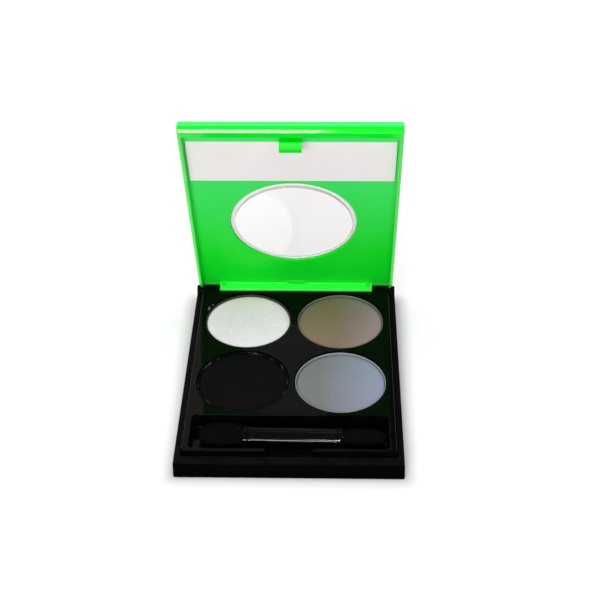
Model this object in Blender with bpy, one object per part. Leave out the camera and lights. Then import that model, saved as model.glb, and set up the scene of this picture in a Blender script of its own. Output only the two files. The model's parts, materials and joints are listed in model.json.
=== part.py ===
"""Eyeshadow palette: a hinged compact with four pans, an applicator in a trough and a windowed lid.

Metres, +Z up. The origin is the middle of the base's underside and the front faces -Y.
The lid is modelled shut and hangs on an empty at its hinge, which holds it open.
"""

from math import atan2, copysign, cos, hypot, pi, radians, sin

import bmesh
import bpy
from mathutils import Matrix, Vector

MM = 0.001

# Base
BASE_WIDTH = 64.0 * MM
BASE_DEPTH = 80.0 * MM
LEDGE_HEIGHT = 5.4 * MM
BASE_FLOOR = 1.2 * MM
SIDE_WALL = 2.0 * MM
FRONT_WALL = 3.1 * MM
REAR_WALL = 3.6 * MM
WALL_TAPER = 0.15 * MM
BASE_CORNER = 0.75 * MM
BASE_SHOULDER = 0.5 * MM
FOOT_EDGE = 0.35 * MM

# Tray
DECK_HEIGHT = 7.4 * MM
DECK_THICKNESS = 1.2 * MM
DECK_EDGE = 0.3 * MM
TRAY_FIT = 0.3 * MM
TRAY_SKIRT = 1.0 * MM
TRAY_CORNER = 0.8 * MM
CUP_WALL = 1.0 * MM
CUP_FLOOR = 0.9 * MM
CUP_EDGE = 0.2 * MM
TROUGH_WIDTH = 13.3 * MM
TROUGH_FRONT_WALL = 1.0 * MM
TROUGH_END_WALL = 1.9 * MM
TROUGH_FLOOR = 0.9 * MM
TROUGH_CORNER = 1.6 * MM

# Pans, powder and glue
PAN_DIAMETER = 26.5 * MM
PAN_HEIGHT = 3.2 * MM
PAN_WALL = 0.35 * MM
PAN_FOOT = 0.6 * MM
PAN_SINK = 0.3 * MM
PAN_FIT = 0.35 * MM
PAN_SPACING = 2.1 * MM
PAN_REAR_MARGIN = 1.7 * MM
POWDER_SINK = 0.5 * MM
POWDER_CROWN = 0.15 * MM
POWDER_EDGE = 0.35 * MM
GLUE_DIAMETER = 20.0 * MM
GLUE_THICKNESS = 0.2 * MM
BOND_GAP = 0.1 * MM

# Lid
LID_OPEN_ANGLE = radians(70.8)
LID_FULL_ANGLE = radians(105.0)
LID_SIDE_INSET = 0.95 * MM
LID_FRONT_INSET = 0.4 * MM
LID_SEAT = 0.3 * MM
LID_HEIGHT = 4.2 * MM
LID_PANEL = 1.8 * MM
LID_SIDE_WALL = 1.1 * MM
LID_FRONT_WALL = 2.75 * MM
LID_CORNER = 0.75 * MM
LID_EDGE = 0.6 * MM
LID_RIM_EDGE = 0.7 * MM
LID_FILLET = 0.3 * MM
LID_PAD_WIDTH = 5.4 * MM
LID_PAD_REACH = 1.4 * MM
LID_PAD_HEIGHT = 0.4 * MM

# Hinge
HINGE_INSET = 1.8 * MM
HINGE_HEIGHT = 6.0 * MM
HINGE_SIDE_GAP = 0.3 * MM
HINGE_SWING_GAP = 0.5 * MM
KNUCKLE_RADIUS = 1.3 * MM
EAR_WIDTH = 7.5 * MM
EAR_RADIUS = 1.6 * MM
EAR_SIDE_INSET = 0.25 * MM
PIN_DIAMETER = 1.2 * MM
PIN_FIT = 0.1 * MM
PIN_RUNNING_FIT = 0.15 * MM
PIN_REACH = 4.5 * MM
PIN_SINK = 0.4 * MM
GUSSET_THICKNESS = 1.0 * MM
GUSSET_REACH = 1.0 * MM
GUSSET_INSET = 0.8 * MM
LID_TAIL = 0.4 * MM

# Catch on the lid and its recess
CATCH_WIDTH = 6.3 * MM
CATCH_THICKNESS = 2.3 * MM
CATCH_SETBACK = 3.9 * MM
CATCH_REACH = 2.8 * MM
CATCH_NOSE = 0.25 * MM
CATCH_NOSE_HEIGHT = 1.1 * MM
CATCH_FIT = 0.3 * MM
RECESS_WIDTH = 13.3 * MM
RECESS_SILL = 0.4 * MM

# Window and mirror
WINDOW_DIAMETER = 38.1 * MM
WINDOW_SETBACK = 44.7 * MM
WINDOW_REBATE = 0.7 * MM
REBATE_DEPTH = 0.8 * MM
LENS_FIT = 0.15 * MM
LENS_BEVEL = 0.8 * MM
LENS_BEVEL_RISE = 0.2 * MM
LENS_PROUD = 0.25 * MM
MIRROR_DEPTH = 17.1 * MM
MIRROR_SIDE_MARGIN = 0.45 * MM
MIRROR_SETBACK = 7.2 * MM
MIRROR_THICKNESS = 0.6 * MM
MIRROR_FIT = 0.15 * MM
POCKET_DEPTH = 0.9 * MM
TAPE_THICKNESS = 0.1 * MM
TAPE_MARGIN = 1.0 * MM

# Applicator
HANDLE_LENGTH = 28.0 * MM
HANDLE_WIDTH = 6.0 * MM
HANDLE_THICKNESS = 3.9 * MM
HANDLE_LENS = 1.25
COLLAR_LENGTH = 2.7 * MM
COLLAR_THICKNESS = 4.2 * MM
COLLAR_GROOVE = 0.25 * MM
NECK_DIAMETER = 1.8 * MM
NECK_LENGTH = 7.0 * MM
HANDLE_OFFSET = 0.85 * MM
HANDLE_REARWARD = 0.85 * MM
HANDLE_SKEW = radians(-1.0)
TIP_LENGTH = 12.4 * MM
TIP_GAP = 0.3 * MM
PADDLE_WIDTH = 9.4 * MM
PADDLE_THICKNESS = 4.2 * MM
PADDLE_PEAK = 0.45
PADDLE_ROUND = 2.2
POINT_WIDTH = 5.0 * MM
POINT_THICKNESS = 3.8 * MM
POINT_PEAK = 0.3
POINT_ROUND = 1.9
TIP_MOUTH = 0.8
REST_GAP = 0.3 * MM

# Facets
ROUND_STEPS = 48
SMALL_STEPS = 24
CORNER_STEPS = 4
EDGE_STEPS = 3
TIP_RINGS = 12
CLEAR = 2.0 * MM
SMOOTH_ANGLE = radians(35.0)

# Places that several pieces share
HALF_WIDTH = BASE_WIDTH / 2
FRONT = -BASE_DEPTH / 2
REAR = BASE_DEPTH / 2
CAVITY_HALF = HALF_WIDTH - SIDE_WALL
CAVITY_FRONT = FRONT + FRONT_WALL
CAVITY_REAR = REAR - REAR_WALL
TRAY_HALF = CAVITY_HALF - TRAY_FIT
TRAY_FRONT = CAVITY_FRONT + TRAY_FIT
TRAY_REAR = CAVITY_REAR - TRAY_FIT
TRAY_BOTTOM = BASE_FLOOR + TRAY_FIT
PAN_RADIUS = PAN_DIAMETER / 2
CUP_RADIUS = PAN_RADIUS + PAN_FIT
PAN_PITCH = PAN_DIAMETER + PAN_SPACING
PAN_REAR_ROW = TRAY_REAR - PAN_REAR_MARGIN - PAN_RADIUS
PAN_BOTTOM = DECK_HEIGHT - PAN_SINK - PAN_HEIGHT
GLUE_BOTTOM = PAN_BOTTOM - BOND_GAP - GLUE_THICKNESS
CUP_BOTTOM = GLUE_BOTTOM - BOND_GAP
TROUGH_HALF = TRAY_HALF - TROUGH_END_WALL
TROUGH_FRONT = TRAY_FRONT + TROUGH_FRONT_WALL
TROUGH_REAR = TROUGH_FRONT + TROUGH_WIDTH
TROUGH_BED = TRAY_BOTTOM + TROUGH_FLOOR
HINGE = Vector((0.0, REAR - HINGE_INSET, HINGE_HEIGHT))
EAR_INNER = HALF_WIDTH - EAR_WIDTH
TONGUE_HALF = EAR_INNER - HINGE_SIDE_GAP
EAR_OUTER = HALF_WIDTH - EAR_SIDE_INSET
LID_HALF = HALF_WIDTH - LID_SIDE_INSET
LID_FRONT = FRONT + LID_FRONT_INSET
LID_REAR = HINGE.y + KNUCKLE_RADIUS
LID_RIM = LEDGE_HEIGHT + LID_SEAT
LID_TOP = LID_RIM + LID_HEIGHT
TONGUE_SWING = hypot(LID_TOP - HINGE.z, KNUCKLE_RADIUS)
TONGUE_SLANT = atan2(LID_TOP - HINGE.z, KNUCKLE_RADIUS)
NOTCH_FLOOR = HINGE.z - TONGUE_SWING * sin(LID_FULL_ANGLE - TONGUE_SLANT) - HINGE_SWING_GAP
LID_INSIDE = LID_TOP - LID_PANEL
LID_INNER_HALF = LID_HALF - LID_SIDE_WALL
LID_INNER_FRONT = LID_FRONT + LID_FRONT_WALL
LID_INNER_REAR = HINGE.y - KNUCKLE_RADIUS
CATCH_FRONT = LID_FRONT + CATCH_SETBACK
CATCH_TIP = LID_RIM - CATCH_REACH
CATCH_NOSE_FRONT = CAVITY_FRONT - CATCH_NOSE
WINDOW_RADIUS = WINDOW_DIAMETER / 2
WINDOW_Y = LID_FRONT + WINDOW_SETBACK
MIRROR_HALF = LID_INNER_HALF - MIRROR_SIDE_MARGIN
MIRROR_FRONT = LID_FRONT + MIRROR_SETBACK
MIRROR_REAR = MIRROR_FRONT + MIRROR_DEPTH
POCKET_FLOOR = LID_INSIDE + POCKET_DEPTH
HANDLE_HALF = HANDLE_LENGTH / 2
COLLAR_RADIUS = COLLAR_THICKNESS / 2
HANDLE_SEAT = Vector((
    HANDLE_OFFSET,
    (TROUGH_FRONT + TROUGH_REAR) / 2 + HANDLE_REARWARD,
    TROUGH_BED + REST_GAP + COLLAR_RADIUS,
))

# Finishes: colour, roughness, metallic value
FINISHES = {
    "gloss_black": ((0.006, 0.006, 0.006), 0.08, 0.0),
    "satin_black": ((0.012, 0.012, 0.013), 0.3, 0.0),
    "fluorescent_green": ((0.01, 0.75, 0.03), 0.2, 0.0),
    "clear_window": ((0.95, 0.95, 0.96), 0.02, 0.0),
    "mirror_silver": ((0.83, 0.8, 0.78), 0.1, 1.0),
    "white_tape": ((0.8, 0.8, 0.78), 0.7, 0.0),
    "steel": ((0.55, 0.55, 0.56), 0.3, 1.0),
    "tin": ((0.7, 0.7, 0.7), 0.3, 1.0),
    "glue": ((0.75, 0.72, 0.6), 0.5, 0.0),
    "powder_white": ((0.69, 0.74, 0.7), 0.8, 0.0),
    "powder_taupe": ((0.18, 0.155, 0.1), 0.6, 0.0),
    "powder_black": ((0.008, 0.008, 0.009), 0.9, 0.0),
    "powder_silver": ((0.22, 0.25, 0.29), 0.5, 0.2),
    "black_sponge": ((0.004, 0.004, 0.004), 0.95, 0.0),
}

SHADES = {
    "white": (-1, 0),
    "taupe": (1, 0),
    "black": (-1, 1),
    "silver": (1, 1),
}


def clear_scene():
    """Empty the scene before modelling."""
    for thing in list(bpy.data.objects):
        bpy.data.objects.remove(thing, do_unlink=True)


def make_finishes():
    """One Principled material for each finish."""
    finishes = {}
    for name, (colour, roughness, metallic) in FINISHES.items():
        finish = bpy.data.materials.new(name)
        finish.use_nodes = True
        shader = finish.node_tree.nodes["Principled BSDF"]
        shader.inputs["Base Color"].default_value = (*colour, 1.0)
        shader.inputs["Roughness"].default_value = roughness
        shader.inputs["Metallic"].default_value = metallic
        finish.diffuse_color = (*colour, 1.0)
        finishes[name] = finish
    return finishes


def rectangle_ring(half, front, rear, radius, z):
    """A rectangle with round corners at one height, anticlockwise from above."""
    corners = (
        (half - radius, rear - radius),
        (radius - half, rear - radius),
        (radius - half, front + radius),
        (half - radius, front + radius),
    )
    ring = []
    for quarter, (x, y) in enumerate(corners):
        for step in range(CORNER_STEPS + 1):
            angle = (quarter + step / CORNER_STEPS) * pi / 2
            ring.append((x + radius * cos(angle), y + radius * sin(angle), z))
    return ring


def inset_ring(half, front, rear, radius, inset, z):
    """The same rectangle drawn in by an inset, or let out by a negative one."""
    return rectangle_ring(half - inset, front + inset, rear - inset, radius - inset, z)


def quarter_turns(size):
    """Steps of a quarter round: how far along it, and how far across."""
    for step in range(EDGE_STEPS + 1):
        angle = step / EDGE_STEPS * pi / 2
        yield size * sin(angle), size * (1 - cos(angle))


def loft(rings):
    """A closed solid through rings of equal count, capped at both ends."""
    shape = bmesh.new()
    loops = [[shape.verts.new(point) for point in ring] for ring in rings]
    for lower, upper in zip(loops, loops[1:]):
        for index in range(len(lower)):
            after = (index + 1) % len(lower)
            shape.faces.new((lower[index], lower[after], upper[after], upper[index]))
    shape.faces.new(tuple(reversed(loops[0])))
    shape.faces.new(tuple(loops[-1]))
    return shape


def slab(half, front, rear, corner, low, high, low_edge=0.0, high_edge=0.0, taper=0.0):
    """A round-cornered block whose lower and upper edges may be rounded over."""
    if low_edge:
        rings = [(low_edge - along, low + across) for along, across in quarter_turns(low_edge)]
    else:
        rings = [(0.0, low)]
    if high_edge:
        for along, across in quarter_turns(high_edge):
            rings.append((taper + across, high - high_edge + along))
    else:
        rings.append((taper, high))
    return loft([inset_ring(half, front, rear, corner, inset, z) for inset, z in rings])


def opening(half, front, rear, corner, low, high, edge):
    """A cutter whose mouth flares, so that the edge it leaves at the top is rounded."""
    rings = [(0.0, low)]
    for along, across in quarter_turns(edge):
        rings.append((-across, high - edge + along))
    rings.append((-edge, high + CLEAR))
    return loft([inset_ring(half, front, rear, corner, inset, z) for inset, z in rings])


def block(x_span, y_span, z_span):
    """A plain box between two corners."""
    shape = bmesh.new()
    bmesh.ops.create_cube(shape, size=1.0)
    spans = (x_span, y_span, z_span)
    size = [high - low for low, high in spans]
    middle = [(high + low) / 2 for low, high in spans]
    stretch = Matrix.Translation(middle) @ Matrix.Diagonal((*size, 1.0))
    bmesh.ops.transform(shape, matrix=stretch, verts=shape.verts)
    return shape


def turned(profile, centre=(0.0, 0.0), steps=ROUND_STEPS):
    """A solid turned about an upright line, from (radius, height) points that start and end on it."""
    shape = bmesh.new()
    x, y = centre
    rings = []
    for radius, z in profile:
        if radius == 0.0:
            rings.append([shape.verts.new((x, y, z))] * steps)
            continue
        turns = [2 * pi * step / steps for step in range(steps)]
        rings.append([shape.verts.new((x + radius * cos(t), y + radius * sin(t), z)) for t in turns])
    for lower, upper in zip(rings, rings[1:]):
        for index in range(steps):
            after = (index + 1) % steps
            corners = (lower[index], lower[after], upper[after], upper[index])
            shape.faces.new(tuple(dict.fromkeys(corners)))
    return shape


def disc(radius, low, high, centre=(0.0, 0.0), steps=ROUND_STEPS):
    """An upright cylinder."""
    return turned([(0.0, low), (radius, low), (radius, high), (0.0, high)], centre, steps)


def rod(radius, x_from, x_to, y, z, steps=SMALL_STEPS):
    """A cylinder lying along X."""
    shape = disc(radius, x_from, x_to, steps=steps)
    lie = Matrix.Translation((0.0, y, z)) @ Matrix.Rotation(pi / 2, 4, "Y")
    bmesh.ops.transform(shape, matrix=lie, verts=shape.verts)
    return shape


def prism(outline, x_from, x_to):
    """An outline of (y, z) points carried along X."""
    return loft([[(x, y, z) for y, z in outline] for x in (x_from, x_to)])


def merged(shapes):
    """Several separate shapes in one mesh."""
    whole = bmesh.new()
    for shape in shapes:
        part = bpy.data.meshes.new("part")
        shape.to_mesh(part)
        shape.free()
        whole.from_mesh(part)
        bpy.data.meshes.remove(part)
    return whole


def place(name, shape, carrier=None):
    """An object from a shape in shut-palette places, hung on its carrier if it has one."""
    bmesh.ops.recalc_face_normals(shape, faces=shape.faces)
    if carrier:
        bmesh.ops.translate(shape, vec=-carrier.location, verts=shape.verts)
    mesh = bpy.data.meshes.new(name)
    shape.to_mesh(mesh)
    shape.free()
    thing = bpy.data.objects.new(name, mesh)
    bpy.context.collection.objects.link(thing)
    thing.parent = carrier
    return thing


def piece(name, shape, finish, carrier=None):
    """A sub-part with its finish, shaded smooth where it is round."""
    thing = place(name, shape, carrier)
    thing.data.materials.append(finish)
    thing.data.shade_smooth()
    thing.data.set_sharp_from_angle(angle=SMOOTH_ANGLE)
    return thing


def shaped_by(thing, name, shape, operation="DIFFERENCE"):
    """Cut a piece with a shape, or join the shape to it."""
    tool = place(name, shape, thing.parent)
    tool.hide_render = True
    tool.display_type = "WIRE"
    change = thing.modifiers.new(name, "BOOLEAN")
    change.operation = operation
    change.object = tool
    return tool


def carrier_at(name, location, turn):
    """An empty on a joint's axis."""
    empty = bpy.data.objects.new(name, None)
    empty.location = location
    empty.rotation_euler = turn
    bpy.context.collection.objects.link(empty)
    return empty


def pan_centre(shade):
    """Where a shade's pan stands in the tray."""
    side, row = SHADES[shade]
    return side * PAN_PITCH / 2, PAN_REAR_ROW - row * PAN_PITCH


def build_base(finish):
    """Base shell: a ledge round the tray's cavity, hinge ears at the rear and a keeper for the catch."""
    outside = slab(HALF_WIDTH, FRONT, REAR, BASE_CORNER, 0.0, LEDGE_HEIGHT,
                   FOOT_EDGE, BASE_SHOULDER, WALL_TAPER)
    base = piece("base_shell", outside, finish)
    shaped_by(base, "add_ears", merged(ear(side) for side in (-1, 1)), "UNION")
    cavity = slab(CAVITY_HALF, CAVITY_FRONT, CAVITY_REAR, TRAY_CORNER,
                  BASE_FLOOR, HINGE_HEIGHT + EAR_RADIUS + CLEAR)
    shaped_by(base, "cut_cavity", cavity)
    notch = block((-EAR_INNER, EAR_INNER), (TRAY_REAR, REAR + CLEAR), (NOTCH_FLOOR, DECK_HEIGHT + CLEAR))
    shaped_by(base, "cut_tongue_notch", notch)
    shaped_by(base, "cut_pin_bores", pin_bores(PIN_FIT, EAR_INNER - CLEAR, HALF_WIDTH + CLEAR))
    half = CATCH_WIDTH / 2 + CATCH_FIT
    keeper = block((-half, half), (CATCH_NOSE_FRONT - CATCH_FIT, TRAY_FRONT),
                   (CATCH_TIP - CATCH_FIT, CATCH_TIP + CATCH_NOSE_HEIGHT + CATCH_FIT))
    shaped_by(base, "cut_keeper", keeper)


def pin_bores(fit, start, end):
    """Bores for both pins along the hinge line, with a fit round the pin."""
    radius = PIN_DIAMETER / 2 + fit
    spans = (sorted((side * start, side * end)) for side in (-1, 1))
    return merged(rod(radius, *span, HINGE.y, HINGE.z) for span in spans)


def ear(side):
    """One hinge ear: an upright with a round top about the hinge line."""
    root = LEDGE_HEIGHT - BASE_SHOULDER
    outline = [(HINGE.y + EAR_RADIUS, root)]
    steps = SMALL_STEPS // 2
    for step in range(steps + 1):
        angle = pi * step / steps
        outline.append((HINGE.y + EAR_RADIUS * cos(angle), HINGE.z + EAR_RADIUS * sin(angle)))
    outline.append((HINGE.y - EAR_RADIUS, root))
    inner = side * (EAR_INNER - CLEAR)
    return prism(outline, *sorted((inner, side * EAR_OUTER)))


def build_tray(finish):
    """Pan tray: a deck with a skirt, four cups hung under it, the trough and the catch recess."""
    outside = slab(TRAY_HALF, TRAY_FRONT, TRAY_REAR, TRAY_CORNER, TRAY_BOTTOM, DECK_HEIGHT,
                   high_edge=DECK_EDGE)
    tray = piece("pan_tray", outside, finish)
    inside = slab(TRAY_HALF - TRAY_SKIRT, TRAY_FRONT + TRAY_SKIRT, TRAY_REAR - TRAY_SKIRT, TRAY_CORNER,
                  TRAY_BOTTOM - CLEAR, DECK_HEIGHT - DECK_THICKNESS)
    hollow = shaped_by(tray, "cut_underneath", inside)
    for shade in SHADES:
        cup = disc(CUP_RADIUS + CUP_WALL, CUP_BOTTOM - CUP_FLOOR, DECK_HEIGHT + CLEAR, pan_centre(shade))
        shaped_by(hollow, "keep_cup_" + shade, cup)
    trough_body = block((-HALF_WIDTH, HALF_WIDTH), (FRONT, TROUGH_REAR + TROUGH_FRONT_WALL),
                        (TRAY_BOTTOM - 2 * CLEAR, DECK_HEIGHT + CLEAR))
    shaped_by(hollow, "keep_trough", trough_body)
    shaped_by(tray, "cut_wells", merged(well(pan_centre(shade)) for shade in SHADES))
    trough = opening(TROUGH_HALF, TROUGH_FRONT, TROUGH_REAR, TROUGH_CORNER,
                     TROUGH_BED, DECK_HEIGHT, DECK_EDGE)
    shaped_by(tray, "cut_trough", trough)
    half = RECESS_WIDTH / 2
    recess = block((-half, half), (TRAY_FRONT - CLEAR, TROUGH_FRONT + TROUGH_CORNER),
                   (TROUGH_BED + RECESS_SILL, DECK_HEIGHT + CLEAR))
    shaped_by(tray, "cut_catch_recess", recess)


def well(centre):
    """The bore of one cup, with a rounded mouth at the deck."""
    profile = [(0.0, CUP_BOTTOM), (CUP_RADIUS, CUP_BOTTOM)]
    for along, across in quarter_turns(CUP_EDGE):
        profile.append((CUP_RADIUS + across, DECK_HEIGHT - CUP_EDGE + along))
    profile += [(CUP_RADIUS + CUP_EDGE, DECK_HEIGHT + CLEAR), (0.0, DECK_HEIGHT + CLEAR)]
    return turned(profile, centre)


def build_pan(shade, finishes):
    """One shade: its glue disc, its drawn pan and its pressed cake."""
    centre = pan_centre(shade)
    glue = disc(GLUE_DIAMETER / 2, GLUE_BOTTOM, GLUE_BOTTOM + GLUE_THICKNESS, centre)
    piece("glue_" + shade, glue, finishes["glue"])
    rim = PAN_BOTTOM + PAN_HEIGHT
    inside = PAN_RADIUS - PAN_WALL
    floor = PAN_BOTTOM + PAN_WALL
    profile = [(0.0, PAN_BOTTOM)]
    foot = PAN_RADIUS - PAN_FOOT
    profile += [(foot + along, PAN_BOTTOM + across) for along, across in quarter_turns(PAN_FOOT)]
    profile += [(PAN_RADIUS, rim), (inside, rim), (inside, floor), (0.0, floor)]
    piece("pan_" + shade, turned(profile, centre), finishes["tin"])
    cake = inside - BOND_GAP
    top = rim - POWDER_SINK
    profile = [(0.0, floor + BOND_GAP), (cake, floor + BOND_GAP)]
    profile += [(cake - across, top - POWDER_EDGE + along) for along, across in quarter_turns(POWDER_EDGE)]
    profile += [(cake / 2, top + POWDER_CROWN * 0.75), (0.0, top + POWDER_CROWN)]
    piece("powder_" + shade, turned(profile, centre), finishes["powder_" + shade])


def build_lid(finish, hinge):
    """Lid shell: a windowed panel in a rim, with its hinge tongue, gussets, catch and mirror pocket."""
    outside = slab(LID_HALF, LID_FRONT, LID_REAR, LID_CORNER, LID_RIM, LID_TOP, LID_RIM_EDGE, LID_EDGE)
    lid = piece("lid_shell", outside, finish, hinge)
    shaped_by(lid, "add_knuckle", rod(KNUCKLE_RADIUS, -TONGUE_HALF, TONGUE_HALF, HINGE.y, HINGE.z), "UNION")
    inside = slab(LID_INNER_HALF, LID_INNER_FRONT, LID_INNER_REAR, LID_CORNER,
                  HINGE.z - KNUCKLE_RADIUS - CLEAR, LID_INSIDE, high_edge=LID_FILLET)
    shaped_by(lid, "cut_inside", inside)
    shaped_by(lid, "cut_over_ears", merged(ear_room(side) for side in (-1, 1)))
    shaped_by(lid, "add_gussets", merged(gusset(side) for side in (-1, 1)), "UNION")
    pad = block((-LID_PAD_WIDTH / 2, LID_PAD_WIDTH / 2),
                (LID_INNER_REAR - LID_PAD_REACH, LID_INNER_REAR + KNUCKLE_RADIUS),
                (LID_INSIDE - LID_PAD_HEIGHT, LID_INSIDE + LID_PANEL / 2))
    shaped_by(lid, "add_pad", pad, "UNION")
    shaped_by(lid, "add_catch", catch(), "UNION")
    pocket = slab(MIRROR_HALF + MIRROR_FIT, MIRROR_FRONT - MIRROR_FIT, MIRROR_REAR + MIRROR_FIT, MIRROR_FIT,
                  LID_INSIDE - CLEAR / 4, POCKET_FLOOR)
    shaped_by(lid, "cut_mirror_pocket", pocket)
    rebate = WINDOW_RADIUS + WINDOW_REBATE
    hole = [(0.0, LID_RIM), (WINDOW_RADIUS, LID_RIM), (WINDOW_RADIUS, LID_TOP - REBATE_DEPTH),
            (rebate, LID_TOP - REBATE_DEPTH), (rebate, LID_TOP + CLEAR), (0.0, LID_TOP + CLEAR)]
    shaped_by(lid, "cut_window", turned(hole, (0.0, WINDOW_Y)))
    deep = TONGUE_HALF - PIN_REACH - PIN_RUNNING_FIT
    shaped_by(lid, "cut_lid_bores", pin_bores(PIN_RUNNING_FIT, deep, TONGUE_HALF + CLEAR))


def ear_room(side):
    """What the lid leaves free beside its tongue: the ear's swing, and the panel's tail."""
    front = HINGE.y - EAR_RADIUS - HINGE_SWING_GAP
    x_span = sorted((side * TONGUE_HALF, side * (LID_HALF + CLEAR)))
    outline = [(front, LID_RIM - CLEAR), (front, LID_INSIDE), (HINGE.y + LID_TAIL, LID_INSIDE),
               (HINGE.y + LID_TAIL, LID_TOP + CLEAR), (LID_REAR + CLEAR, LID_TOP + CLEAR),
               (LID_REAR + CLEAR, LID_RIM - CLEAR)]
    return prism(outline, *x_span)


def gusset(side):
    """A small web between the panel and the tongue, near the tongue's end."""
    outer = side * (TONGUE_HALF - GUSSET_INSET)
    inner = side * (TONGUE_HALF - GUSSET_INSET - GUSSET_THICKNESS)
    root = LID_PANEL / 2
    outline = [(LID_INNER_REAR - GUSSET_REACH, LID_INSIDE), (LID_INNER_REAR, HINGE.z),
               (LID_INNER_REAR + root, HINGE.z), (LID_INNER_REAR + root, LID_INSIDE + root),
               (LID_INNER_REAR - GUSSET_REACH, LID_INSIDE + root)]
    return prism(outline, *sorted((outer, inner)))


def catch():
    """The catch: a tab from the panel whose nose snaps under the base's front wall."""
    rear = CATCH_FRONT + CATCH_THICKNESS
    nose_top = CATCH_TIP + CATCH_NOSE_HEIGHT
    lead = CATCH_NOSE_HEIGHT / 2
    outline = [(CATCH_FRONT, LID_INSIDE + LID_PANEL / 2), (CATCH_FRONT, nose_top + lead),
               (CATCH_NOSE_FRONT, nose_top), (CATCH_NOSE_FRONT, CATCH_TIP + lead),
               (CATCH_FRONT, CATCH_TIP), (rear - lead, CATCH_TIP), (rear, CATCH_TIP + lead),
               (rear, LID_INSIDE + LID_PANEL / 2)]
    return prism(outline, -CATCH_WIDTH / 2, CATCH_WIDTH / 2)


def build_window(finish, hinge):
    """Window lens: a flange in the lid's rebate and a bevelled plug through its hole."""
    flange = WINDOW_RADIUS + WINDOW_REBATE - LENS_FIT
    plug = WINDOW_RADIUS - LENS_FIT
    seat = LID_TOP - REBATE_DEPTH + BOND_GAP
    face = LID_INSIDE - LENS_PROUD
    profile = [(0.0, face), (plug - LENS_BEVEL, face), (plug, face + LENS_BEVEL_RISE), (plug, seat),
               (flange, seat), (flange, LID_TOP), (0.0, LID_TOP)]
    piece("window_lens", turned(profile, (0.0, WINDOW_Y)), finish, hinge)


def build_mirror(finishes, hinge):
    """Mirror strip and the tape that holds it in its pocket."""
    tape_top = POCKET_FLOOR - BOND_GAP
    tape_low = tape_top - TAPE_THICKNESS
    tape = block((TAPE_MARGIN - MIRROR_HALF, MIRROR_HALF - TAPE_MARGIN),
                 (MIRROR_FRONT + TAPE_MARGIN, MIRROR_REAR - TAPE_MARGIN), (tape_low, tape_top))
    piece("mirror_tape", tape, finishes["white_tape"], hinge)
    mirror_top = tape_low - BOND_GAP
    mirror = block((-MIRROR_HALF, MIRROR_HALF), (MIRROR_FRONT, MIRROR_REAR),
                   (mirror_top - MIRROR_THICKNESS, mirror_top))
    piece("mirror_strip", mirror, finishes["mirror_silver"], hinge)


def build_pins(finish):
    """Hinge pins, pressed into the ears and free in the tongue."""
    for name, side in (("hinge_pin_left", -1), ("hinge_pin_right", 1)):
        ends = sorted((side * (TONGUE_HALF - PIN_REACH), side * (EAR_OUTER - PIN_SINK)))
        piece(name, rod(PIN_DIAMETER / 2, *ends, HINGE.y, HINGE.z), finish)


def lying(profile, side, width, thickness, lens=1.0):
    """A solid turned about the applicator's own line and spread sideways outside its neck.

    The profile runs in (distance along the line, radius) points, towards the given side.
    A lens above 1 draws the section to an edge at its front and rear.
    """
    shape = turned([(radius, along) for along, radius in profile], steps=SMALL_STEPS)
    core = (NECK_DIAMETER / 2 + TIP_GAP) * 1.01
    reach = (HANDLE_HALF + NECK_LENGTH + TIP_GAP) * 1.01
    for vert in shape.verts:
        radius = vert.co.xy.length
        if radius > core or (radius and abs(vert.co.z) > reach):
            up, across = vert.co.xy / radius
            vert.co.x = radius * copysign(abs(up) ** lens, up)
            vert.co.y = radius * copysign(abs(across) ** lens, across) * width / thickness
    lie = Matrix.Translation(HANDLE_SEAT) @ Matrix.Rotation(side * pi / 2, 4, "Y")
    bmesh.ops.transform(shape, matrix=lie, verts=shape.verts)
    return shape


def build_handle(finish, seat):
    """Applicator handle: a flattened rod with a grooved collar and a neck at each end."""
    neck = NECK_DIAMETER / 2
    collar = HANDLE_HALF - COLLAR_LENGTH
    middle = HANDLE_HALF - COLLAR_LENGTH / 2
    half = [(collar, HANDLE_THICKNESS / 2), (collar, COLLAR_RADIUS),
            (middle - COLLAR_GROOVE, COLLAR_RADIUS), (middle, COLLAR_RADIUS - COLLAR_GROOVE),
            (middle + COLLAR_GROOVE, COLLAR_RADIUS), (HANDLE_HALF - COLLAR_GROOVE, COLLAR_RADIUS),
            (HANDLE_HALF, COLLAR_RADIUS - COLLAR_GROOVE), (HANDLE_HALF, neck),
            (HANDLE_HALF + NECK_LENGTH, neck), (HANDLE_HALF + NECK_LENGTH, 0.0)]
    profile = [(-along, radius) for along, radius in reversed(half)] + half
    shape = lying(profile, 1, HANDLE_WIDTH, HANDLE_THICKNESS, HANDLE_LENS)
    piece("applicator_handle", shape, finish, seat)


def tip_form(share, peak, roundness):
    """How full a sponge tip is at a share of its length: it swells to its peak, then rounds off."""
    if share < peak:
        return TIP_MOUTH + (1.0 - TIP_MOUTH) * sin(pi / 2 * share / peak)
    return (1.0 - ((share - peak) / (1.0 - peak)) ** roundness) ** (1.0 / roundness)


def sponge_tip(name, side, size, form, finish, seat):
    """A sponge tip slipped over a neck: a crowned form with a blind bore."""
    width, thickness = size
    start = HANDLE_HALF + TIP_GAP
    bore = NECK_DIAMETER / 2 + TIP_GAP
    bore_end = HANDLE_HALF + NECK_LENGTH + TIP_GAP
    profile = [(bore_end, 0.0), (bore_end, bore), (start, bore)]
    for ring in range(TIP_RINGS):
        share = sin(pi / 2 * ring / TIP_RINGS)
        profile.append((start + TIP_LENGTH * share, thickness / 2 * tip_form(share, *form)))
    profile.append((start + TIP_LENGTH, 0.0))
    piece(name, lying(profile, side, width, thickness), finish, seat)


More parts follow.
